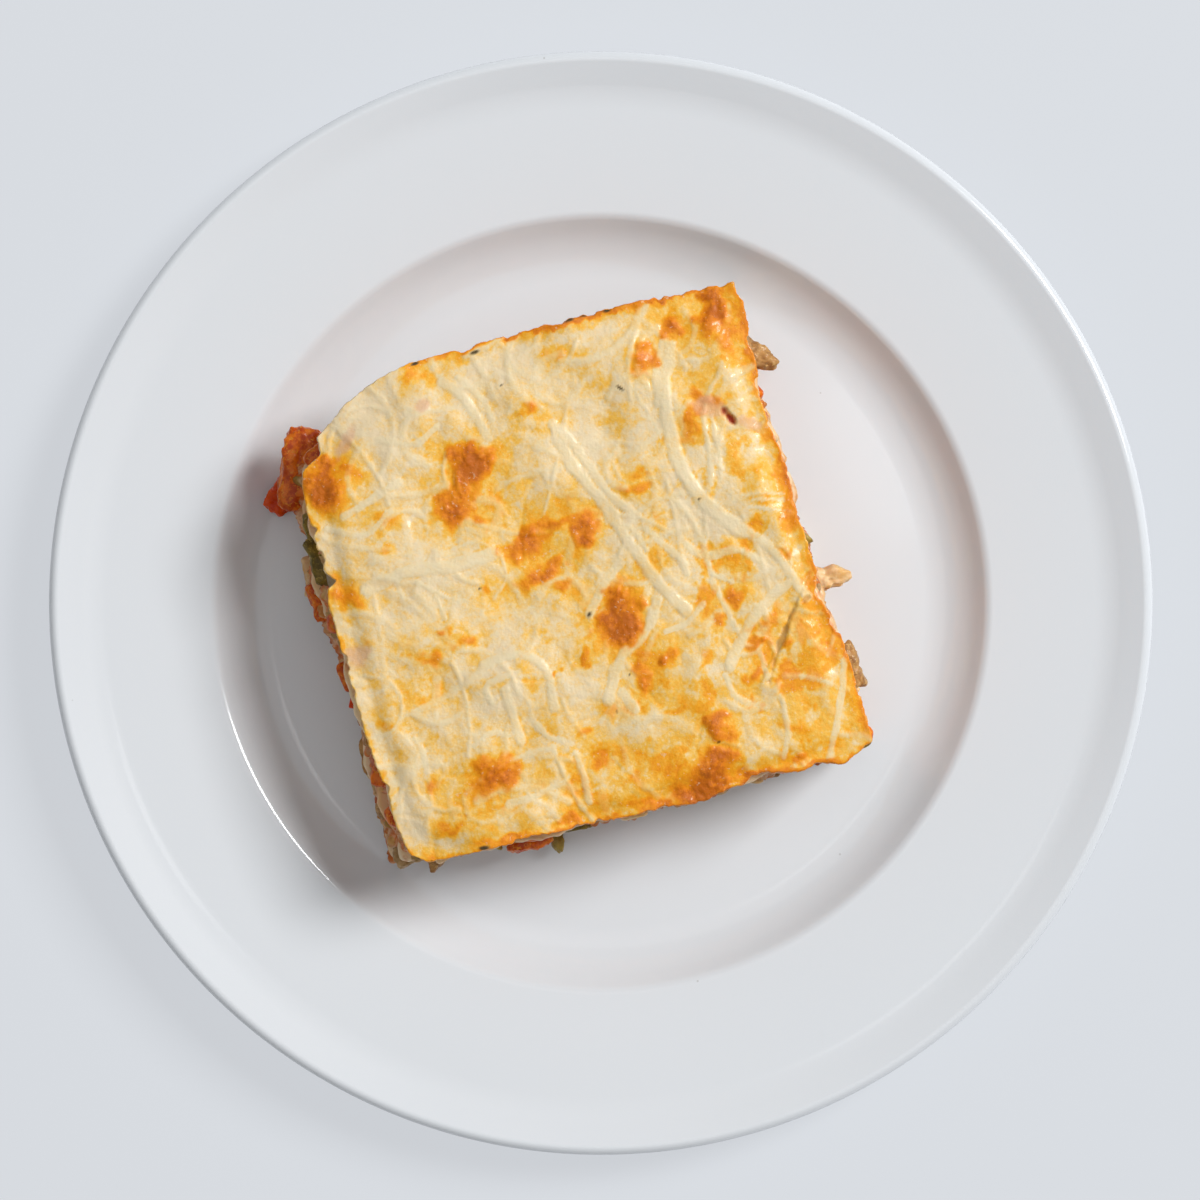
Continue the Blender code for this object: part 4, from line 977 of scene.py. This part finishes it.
# Strands and curds stay pale where the cheese round them is only golden
curds = ease(-0.1, 0.45, lumps(x, y, 61.0, 3.2, 3, 0.7))
toast_and_hollow_shade *= 1 - ease(0.62, 0.34, toast_and_hollow_shade) * np.maximum(0.5 * np.clip(strand, 0, 1), 0.42 * curds)
wall_toast = loop_toast[None] * (1 - 0.55 * down) + 0.12 * noise(wall_xy[..., 0], wall_xy[..., 1], wall_z)


def with_wall(values, wall):
    """The numbers of the grid, then the wall's, then a zero for the underside's middle."""
    return np.concatenate([values.ravel(), np.broadcast_to(wall, (WALL_ROWS, 4 * n)).ravel(), [0.0]])


fields = {
    "toast": with_wall(toast_and_hollow_shade, wall_toast),
    "strand": with_wall(strand, 0.0),
    "side": with_wall(np.zeros((n + 1, n + 1)), down),
    "crack": with_wall(crack * 0.8, 0.0),
    # The creases and the grooves beside the strands are stored again, to paint shade into them
    "crease": with_wall(np.maximum(0.6 * creases, groove), 0.0),
    "hole": with_wall(hole, 0.0),
    "pink": with_wall(pink, 0.0),
    "fleck": with_wall(fleck, 0.0),
}

# %% [markdown]
# Cheese under a grill goes through a row of colours: cream, straw, gold, orange-brown, dark brown. One ramp
# holds them, and the toast number picks the place on it, shaken by fine noise so that no edge is clean. A
# little light passes through the cream, and a thin film of oil makes small highlights.

# %% The finish of the cheese
cheese = Finish("baked cheese", subsurface_weight=0.08, subsurface_scale=1.0 * MM,
                subsurface_radius=(1.0, 0.6, 0.3), coat_roughness=0.12, specular_ior_level=0.25)
speckle = cheese.grain(1.0, 4.0, 0.75)
cloud = cheese.grain(6.0, 4.0, 0.6, 0.5)
# The toast field holds the browning, with the painted shade of the hollows in it
toasted_and_shaded = cheese.field("toast")
fleece = cheese.grain(2.4, 3.0, 0.65, 1.0)
# Creases and strand grooves get a little more toast, which paints shade into them
baked = (toasted_and_shaded + (speckle - 0.5) * (0.3 + toasted_and_shaded * 0.5) + (cloud - 0.5) * 0.36 + (fleece - 0.5) * 0.34
         + cheese.field("crease") * 0.1)
baked_colour = cheese.ramp(baked, (
    (0.0, (0.86, 0.69, 0.435)),
    (0.12, (0.89, 0.64, 0.30)),
    (0.26, (0.93, 0.53, 0.08)),
    (0.42, (0.94, 0.40, 0.010)),
    (0.62, (0.88, 0.29, 0.003)),
    (0.82, (0.77, 0.215, 0.002)),
    (1.0, (0.58, 0.14, 0.002)),
))
pale = cheese.field("strand") * (1 - cheese.between(toasted_and_shaded, 0.25, 0.7)) * 0.5
# Pale flecks in the colour: curds of fat, and painted glints of oil on the cheese
curd_and_glint = cheese.between(cheese.grain(1.1, 3.0, 0.6), 0.62, 0.72)
with_curds_and_glints = cheese.mix(curd_and_glint * 0.4, baked_colour, (0.90, 0.78, 0.52))
with_strands = cheese.mix(pale, with_curds_and_glints, (0.84, 0.71, 0.45))
side_share = cheese.between(cheese.field("side"), 0.15, 1.0)
sauce_stain = side_share * cheese.between(cheese.grain(4.0, 3.0), 0.42, 0.62)
with_side = cheese.mix(sauce_stain * 0.8, with_strands, (0.66, 0.20, 0.03))
with_cracks = cheese.mix(cheese.field("crack"), with_side, (0.66, 0.36, 0.10))
stained = cheese.mix(cheese.field("pink") * 0.65, with_cracks, (0.76, 0.43, 0.25))
torn = cheese.mix(cheese.field("hole"), stained, (0.46, 0.05, 0.012))
cheese.feed("Base Color", cheese.mix(cheese.field("fleck"), torn, (0.07, 0.045, 0.012)))
cheese.feed("Roughness", 0.30 + cheese.grain(2.4, 2.0) * 0.3 - cheese.field("strand") * 0.06)
cheese.feed("Coat Weight", cheese.between(cheese.grain(1.8, 2.0), 0.45, 0.7) * 0.4 + 0.06)
cheese.bump(cheese.grain(0.9, 4.0, 0.75) * (0.6 + toasted_and_shaded * 0.6) + cheese.cells(0.8) * 0.2, 0.22, 0.9)
add_piece("baked_cheese", points, faces, cheese, "cheese", ["cheese_topping"], fields)

# %% [markdown]
# ## Layers of the slice
#
# Every sheet and every filling is made the same way: an inner part that is flat, an edge that follows the
# outline, and whatever relief its kind asks for on the wall between its two faces.

# %% A layer as a closed skin
# The rows of a layer's flat faces, in shares of the way from its middle to its edge
FLAT_RINGS = (0.6, 0.8, 0.93)


def layer_skin(offsets, heights, sheets, scale, amount):
    """A layer as a closed skin: a fine wall round it, and flat faces that follow the waves near the edge.

    offsets(row, height, share) gives how far the wall's points move out, heights are the wall rows' levels,
    and sheets the two levels from which the lower and upper faces take their waves.
    """
    bottom, top = heights[0], heights[-1]
    inner = outline((BASE + CREST) / 2)

    def flat_row(ring, level, sheet):
        row = MIDDLE + (inner - MIDDLE) * ring
        return np.column_stack([row, level + wave(row[:, 0], row[:, 1], sheet) * ring**2])

    rows = [flat_row(ring, bottom, sheets[0]) for ring in FLAT_RINGS]
    for height in heights:
        share = (height - bottom) / (top - bottom)
        row = outline(height)
        uneven = amount * noise(row[:, 0] / scale, row[:, 1] / scale, height / scale + 7.0)
        out = outward(row)
        sheet = sheets[0] + (sheets[1] - sheets[0]) * share
        moved = row + out * (uneven + offsets(row, height, share))[:, None]
        rows.append(np.column_stack([moved, height + wave(row[:, 0], row[:, 1], sheet)]))
    rows += [flat_row(ring, top, sheets[1]) for ring in reversed(FLAT_RINGS)]
    return closed_skin(np.stack(rows), (*MIDDLE, bottom), (*MIDDLE, top))


# %% [markdown]
# ## Pasta sheets
#
# Cooked lasagne sheets are about two millimetres thick, cream-coloured and slightly see-through. A knife
# leaves their edges rounded and a little wavy, and the sauce stains them from above and below. Each sheet is
# the outline carried over a half-round edge.

# %% Pasta sheets
EDGE_ROWS = 9
EDGE_BULGE = 0.9


def sheet_edge(row, height, share):
    """How far a sheet's edge stands out: a half ellipse over its thickness, made uneven along its length."""
    bulge = np.sqrt(max(0.0, 1 - (2 * share - 1) ** 2))
    ragged = 0.8 * lumps(row[:, 0], row[:, 1], height / 3, 4.2, 3)
    return EDGE_BULGE * (bulge - 1) + ragged - 0.6 * tuck


def pasta_rows(bottom, top):
    """Levels of the edge's rows, closer together where the edge turns over."""
    return bottom + (top - bottom) * (1 - np.cos(np.linspace(0, np.pi, EDGE_ROWS))) / 2


pasta = Finish("cooked pasta", subsurface_weight=0.15, subsurface_scale=1.5 * MM,
               subsurface_radius=(1.0, 0.6, 0.3), coat_weight=0.25, coat_roughness=0.2)
stain = pasta.between(pasta.grain(5.5, 4.0, 0.6, 0.6), 0.50, 0.66)
orange = pasta.between(pasta.grain(11.0, 2.0), 0.40, 0.65)
dough = pasta.mix(orange, (0.86, 0.64, 0.38), (0.80, 0.47, 0.20))
pasta.feed("Base Color", pasta.mix(stain * 0.75, dough, (0.58, 0.20, 0.05)))
pasta.feed("Roughness", 0.36 + pasta.grain(2.0) * 0.2)
pasta.bump(pasta.grain(1.2, 3.0), 0.12, 0.7)
for number in range(1, len(FILLINGS) + 2):
    name = f"pasta_sheet_{number}"
    bottom, top = STACK[name]
    points, faces = layer_skin(sheet_edge, pasta_rows(bottom, top), (bottom, bottom), 9.0, 1.4)
    add_piece(f"pasta_{number}", points, faces, pasta, "pasta", [name])

# %% [markdown]
# ## The filling
#
# Between the sheets lies a thick stew of tomato, onion, courgette, aubergine, mushroom and pepper. Its wall
# is the same core as the solid's, with chunky relief at two sizes on it. The seams hold wet red sauce with
# streaks of white sauce, and each pebble's number picks an ingredient.

# %% The filling's walls
FILLING_ROWS = 27
CHUNK, CHUNK_RISE = 4.6, 1.5
CRUMB, CRUMB_RISE = 2.1, 0.55
SQUASH = 1.15  # how much flatter the lumps are than they are wide
DRAWN_IN = 1.1


def filling_lumps(x, y, z, seed):
    """Relief and tint of the large and of the small packed lumps."""
    return pebbles(x, y, z * SQUASH, CHUNK, seed), pebbles(x, y, z * SQUASH, CRUMB, seed + 1)


def filling_edge(seed):
    """The wall of one filling: lumps of two sizes, drawn in where it meets the sheets."""
    def offsets(row, height, share):
        (big, _), (small, _) = filling_lumps(row[:, 0], row[:, 1], height, seed)
        drawn_in = DRAWN_IN * abs(2 * share - 1) ** 5
        return CHUNK_RISE * big + CRUMB_RISE * small - 1.2 - drawn_in - tuck
    return offsets


stew = Finish("vegetable stew", subsurface_weight=0.04, subsurface_scale=0.8 * MM,
              subsurface_radius=(1.0, 0.35, 0.2), coat_weight=0.2, coat_roughness=0.14,
              specular_ior_level=0.2)
vegetables = stew.ramp(stew.field("tint"), (
    (0.0, (0.50, 0.09, 0.008)),
    (0.16, (0.64, 0.17, 0.02)),
    (0.30, (0.52, 0.22, 0.05)),
    (0.42, (0.74, 0.42, 0.13)),
    (0.55, (0.56, 0.12, 0.012)),
    (0.66, (0.80, 0.55, 0.26)),
    (0.76, (0.36, 0.21, 0.03)),
    (0.86, (0.46, 0.18, 0.04)),
    (1.0, (0.68, 0.28, 0.05)),
))
sauce = stew.mix(stew.grain(2.6, 4.0, 0.6), (0.54, 0.075, 0.004), (0.84, 0.28, 0.03))
cream = stew.between(stew.grain(7.0, 3.0, 0.6, 1.2), 0.46, 0.60)
with_cream = stew.mix(cream * 0.75, sauce, (0.88, 0.60, 0.36))
cover = stew.between(stew.field("rise") + (stew.grain(1.4, 3.0) - 0.5) * 0.8, 0.25, 0.75)
chunks = stew.mix(cover, with_cream, vegetables)
mottled = stew.mix(stew.between(stew.grain(0.9, 3.0), 0.4, 0.7) * 0.35, chunks, (0.36, 0.07, 0.01))
stew.feed("Base Color", mottled)
stew.feed("Roughness", 0.22 + stew.grain(1.5) * 0.3)
stew.bump(stew.grain(0.8, 4.0, 0.65), 0.22, 0.8)

for number in range(1, len(FILLINGS) + 1):
    name = f"filling_{number}"
    bottom, top = STACK[name]
    seed = 40 + 10 * number  # every filling has lumps of its own
    levels = np.linspace(bottom, top, FILLING_ROWS)
    sheets = (bottom - GAP - PASTA, top + GAP)
    points, faces = layer_skin(filling_edge(seed), levels, sheets, 6.5, 1.7)
    (big, tint), (small, small_tint) = filling_lumps(*points.T, seed)
    carried = {"tint": np.where(big > 0.35, tint, small_tint), "rise": 0.7 * big + 0.3 * small}
    add_piece(f"stew_{number}", points, faces, stew, "filling", [name], carried)

# %% [markdown]
# ## Cut vegetables
#
# A knife-cut piece that has been stewed is a box whose corners have gone soft. Its surface starts as a cube's
# grid, and every point is pulled in along its own line from the middle until the sum of its coordinates'
# k-th powers is one: k of 2 would be a ball, and a large k a sharp box. The same grid serves a half moon, a
# bent strip and a wedge, by squeezing or bending it first.

# %% Soft boxes
def cube_grid(steps):
    """The surface of a cube from -1 to 1, with steps quads along each edge and every point only once."""
    line = np.linspace(-1, 1, steps + 1)
    a, b = (g.ravel() for g in np.meshgrid(line, line, indexing="ij"))
    one = np.ones_like(a)
    sides = [np.stack(c, axis=1) for c in ((one, a, b), (-one, b, a), (b, one, a), (a, -one, b),
                                           (a, b, one), (b, a, -one))]
    points, index = np.unique(np.round(np.concatenate(sides), 6), axis=0, return_inverse=True)
    count = (steps + 1) ** 2
    i, j = (g.ravel() for g in np.meshgrid(np.arange(steps), np.arange(steps), indexing="ij"))
    quad = np.stack([i * (steps + 1) + j, (i + 1) * (steps + 1) + j,
                     (i + 1) * (steps + 1) + j + 1, i * (steps + 1) + j + 1], axis=1)
    faces = np.concatenate([index.reshape(-1)[quad + s * count] for s in range(6)])
    return points, faces


def soft_box(steps, power):
    """A cube's grid pulled in to |x|^k + |y|^k + |z|^k = 1, scaled to half a unit each way."""
    points, faces = cube_grid(steps)
    norm = (np.abs(points) ** power).sum(axis=1, keepdims=True) ** (1 / power)
    return points / norm / 2, faces


def wedge_form(points):
    """Narrows the box to a blunt point at +x."""
    share = 0.5 + points[..., :1]
    return points * np.concatenate([np.ones_like(share), 1.1 - 0.75 * share, 1.0 - 0.35 * share], axis=-1)


def half_moon(points):
    """Squeezes the box into half a disc with its straight side at -y."""
    share = np.clip(0.5 + points[..., 1:2], 0, 1)
    return points * np.concatenate([np.sqrt(np.clip(1.02 - share**2, 0.02, 1)), np.ones_like(share),
                                    np.ones_like(share)], axis=-1)


def bent_strip(points, bow=0.5):
    """Bends the box sideways into an arc."""
    bent = points.copy()
    bent[..., 1] += bow * (0.5 - 4 * points[..., 0] ** 2)
    return bent


# How boxy each kind of piece is, and the forms that some of them are squeezed into
KIND_POWER = {"dice": 6, "lump": 2.3, "half_slice": 5, "strip": 4, "block": 6, "wedge": 3.2}
FORMS = {"wedge": wedge_form, "half_slice": half_moon, "strip": bent_strip}


def cut_form(kind, steps):
    """Points and faces of one kind of piece, a unit across."""
    points, quads = soft_box(steps, KIND_POWER[kind])
    return FORMS.get(kind, np.copy)(points), quads


def placed(points, sizes, turns, places, rough, seed):
    """Copies of one form, each with its own size, turn and place, made uneven by noise.

    A point is multiplied by the size, turned about the upright axis and moved to its place. The noise there
    then moves it along its own line from the copy's middle.
    """
    sized = points[None] * np.array(sizes)[:, None]
    cosine, sine = np.cos(turns)[:, None], np.sin(turns)[:, None]
    x, y = sized[..., 0], sized[..., 1]
    turned_points = np.stack([x * cosine - y * sine, x * sine + y * cosine, sized[..., 2]], axis=-1)
    world = turned_points + np.array(places)[:, None]
    away = turned_points / np.maximum(np.linalg.norm(turned_points, axis=-1, keepdims=True), 1e-6)
    uneven = lumps(world[..., 0], world[..., 1], world[..., 2] + seed, 2.6, 3, 0.55)
    return world + away * (rough * uneven)[..., None]


def copies(points, faces):
    """One array of points and one of faces for many copies of a form."""
    count, each = points.shape[:2]
    shift = (np.arange(count) * each)[:, None, None]
    return points.reshape(-1, 3), [(faces[None] + shift).reshape(-1, 4)]


# %% Finishes of the vegetables
def vegetable(name, light, dark, roughness=0.3, marks=None, size=2.2, subsurface=0.05):
    """Stewed vegetable: two shades in soft clouds, fine marks, and a wet skin."""
    made = Finish(name, subsurface_weight=subsurface, subsurface_scale=0.8 * MM,
                  subsurface_radius=(1.0, 0.45, 0.25), coat_weight=0.15, coat_roughness=0.12,
                  specular_ior_level=0.2)
    body = made.mix(made.between(made.grain(size, 4.0, 0.6), 0.36, 0.64), light, dark)
    if marks:
        body = made.mix(made.between(made.grain(size * 0.45, 3.0, 0.6, 0.8), 0.55, 0.68), body, marks)
    made.feed("Base Color", body)
    made.feed("Roughness", roughness + made.grain(1.1) * 0.25)
    made.bump(made.grain(0.7, 4.0, 0.6), 0.18, 0.8)
    return made


VEGETABLES = {
    "tomato": vegetable("stewed tomato", (0.86, 0.20, 0.010), (0.52, 0.06, 0.004), 0.2, (0.84, 0.32, 0.03)),
    "red_skin": vegetable("tomato skin", (0.84, 0.10, 0.004), (0.64, 0.05, 0.003), 0.15),
    "olive": vegetable("stewed courgette", (0.27, 0.18, 0.02), (0.12, 0.08, 0.008), 0.3, (0.40, 0.28, 0.05)),
    "onion": vegetable("stewed onion", (0.88, 0.62, 0.34), (0.80, 0.47, 0.17), 0.22, None, 3.0, 0.15),
    "mushroom": vegetable("stewed mushroom", (0.56, 0.36, 0.17), (0.32, 0.18, 0.06), 0.4),
    "aubergine": vegetable("stewed aubergine", (0.56, 0.30, 0.10), (0.32, 0.15, 0.045), 0.32,
                           (0.66, 0.42, 0.16)),
    "pepper": vegetable("stewed pepper", (0.46, 0.32, 0.06), (0.28, 0.18, 0.03), 0.2),
}

# %% [markdown]
# ## Pieces in the walls
#
# The solids carry 27 mixed pieces round each filling, set out by one rule. The same rule is repeated here,
# so the fine pieces lie where the plain ones did.

# %% Sizes and places of the pieces
# Each kind: its share of the pieces, and its length, width and height
MIXED_PIECES = {
    "dice": (0.34, 6.4, 5.6, 5.0),
    "lump": (0.34, 5.2, 4.6, 4.4),
    "half_slice": (0.16, 9.5, 5.0, 2.6),
    "strip": (0.16, 11.0, 2.6, 3.4),
}
PIECES_A_LAYER = 27
PIECE_SINK = 0.28  # how deep a piece sits in the wall, in shares of its width
PIECE_MARGIN = 1.2  # between a piece and the sheets over and under it
LARGE_CLEARANCE = 5.5
# Each large piece: its kind, what it is cut from, which filling holds it, its middle, its length, width and
# height, and its turn in degrees
LARGE_PIECES = {
    "tomato_wedge": ("block", "tomato", 1, (-70.2, 31.4), 19.5, 8.8, 7.0, 82),
    "tomato_tip": ("block", "red_skin", 0, (-75.6, 25.2), 8.0, 5.6, 5.0, 60),
    "courgette_piece": ("block", "olive", 2, (-64.6, 12.4), 17.5, 6.0, 5.6, 102),
    "tomato_piece_left": ("block", "tomato", 1, (-64.9, 0.6), 9.5, 5.6, 6.2, 108),
    "onion_piece_left": ("block", "onion", 0, (-67.6, 6.4), 10.0, 5.4, 5.4, 100),
    "mushroom_corner": ("block", "mushroom", 1, (-44.6, -58.3), 7.0, 5.4, 5.4, 20),
    "aubergine_tip": ("wedge", "aubergine", 0, (-38.6, -60.0), 8.0, 5.4, 5.2, 250),
    "tomato_piece_front": ("block", "tomato", 1, (-17.0, -54.6), 11.0, 6.0, 6.0, 12),
    "pepper_tip_front": ("wedge", "pepper", 0, (-10.6, -54.8), 8.0, 5.0, 5.0, 285),
    "aubergine_chunk": ("wedge", "aubergine", 2, (34.8, 57.0), 13.0, 9.5, 5.6, -15),
    "onion_point": ("wedge", "onion", 1, (52.4, 5.6), 13.0, 8.6, 6.0, 10),
    "aubergine_sliver": ("block", "aubergine", 2, (57.6, -14.6), 11.0, 4.6, 5.0, 112),
}
# Which vegetables each kind of piece is cut from, taken in turn
KIND_SOURCES = {"dice": ("tomato", "aubergine", "onion"), "lump": ("mushroom", "tomato", "aubergine"),
                "half_slice": ("olive", "aubergine"), "strip": ("onion", "pepper", "red_skin")}
print(len(MIXED_PIECES), "kinds of mixed pieces and", len(LARGE_PIECES), "large pieces")


# %% Mixed pieces round each filling
def wall_pieces(number):
    """The mixed pieces in one filling's wall: (kind, size, share of the way round, rise, turn) of each."""
    rng = np.random.default_rng(20 + number)
    kinds = list(MIXED_PIECES)
    pieces = []
    for k in range(PIECES_A_LAYER):
        share = (k + rng.uniform(0.2, 0.8)) / PIECES_A_LAYER
        kind = rng.choice(kinds, p=[part for part, *_ in MIXED_PIECES.values()])
        size = MIXED_PIECES[kind][1:] * rng.uniform(0.85, 1.15, 3)
        pieces.append((kind, size, share, rng.uniform(-1, 1), rng.uniform(-0.5, 0.5)))
    return pieces


def beside_large_piece(spot, number):
    """True where one of the larger pieces needs the room."""
    for _, _, filling, middle, length, *_ in LARGE_PIECES.values():
        if filling == number and np.linalg.norm(spot - middle) < length / 2 + LARGE_CLEARANCE:
            return True
    return False


def set_in_wall(number, pieces):
    """Turns (kind, size, share, rise, turn) into (kind, size, turn, place) on one filling's wall."""
    bottom, top = STACK[f"filling_{number + 1}"]
    height = (bottom + top) / 2
    row = outline(height)
    facing = outward(row)
    walked = np.cumsum(np.linalg.norm(np.roll(row, -1, axis=0) - row, axis=1))
    found = []
    for kind, size, share, rise, turn in pieces:
        i = np.searchsorted(walked, share * walked[-1]) % len(row)
        out = facing[i]
        spot = row[i] - out * (size[1] * PIECE_SINK + tuck[i])
        if beside_large_piece(spot, number):
            continue
        room = max(0.0, (top - bottom) / 2 - size[2] / 2 - PIECE_MARGIN)
        place = (*spot, height + wave(*spot, height) + rise * room)
        found.append((kind, size, math.atan2(out[1], out[0]) + math.pi / 2 + turn, place))
    return found


by_vegetable = {}
for number in range(len(FILLINGS)):
    for k, (kind, size, turn, place) in enumerate(set_in_wall(number, wall_pieces(number))):
        sources = KIND_SOURCES[kind]
        key = (sources[(k + number) % len(sources)], kind)
        by_vegetable.setdefault(key, []).append((size, turn, place))
print(sum(map(len, by_vegetable.values())), "mixed pieces")

# %% One mesh for each kind
MIXED_STEPS, MIXED_ROUGHNESS = 10, 0.35
for (source, kind), pieces in sorted(by_vegetable.items()):
    sizes, turns, places = zip(*pieces)
    form, quads = cut_form(kind, MIXED_STEPS)
    points = placed(form, sizes, np.array(turns), places, MIXED_ROUGHNESS, len(source))
    add_piece(f"{source}_{kind}", *copies(points, quads), VEGETABLES[source], source)

# %% The larger pieces, each in the pocket that the solids give it
LARGE_STEPS, LARGE_ROUGHNESS = 26, 0.9
LARGE_SHARE = 0.98  # a little smaller than the solid, because the roughness adds to it
for name, (kind, source, number, middle, *size, turn) in LARGE_PIECES.items():
    level = sum(STACK[f"filling_{number + 1}"]) / 2
    place = (*middle, level + wave(*middle, level))
    form, quads = cut_form(kind, LARGE_STEPS)
    points = placed(form * LARGE_SHARE, [size], np.radians([turn]), [place], LARGE_ROUGHNESS, 3.0)
    add_piece(f"{name}_fine", *copies(points, quads), VEGETABLES[source], source, [name])
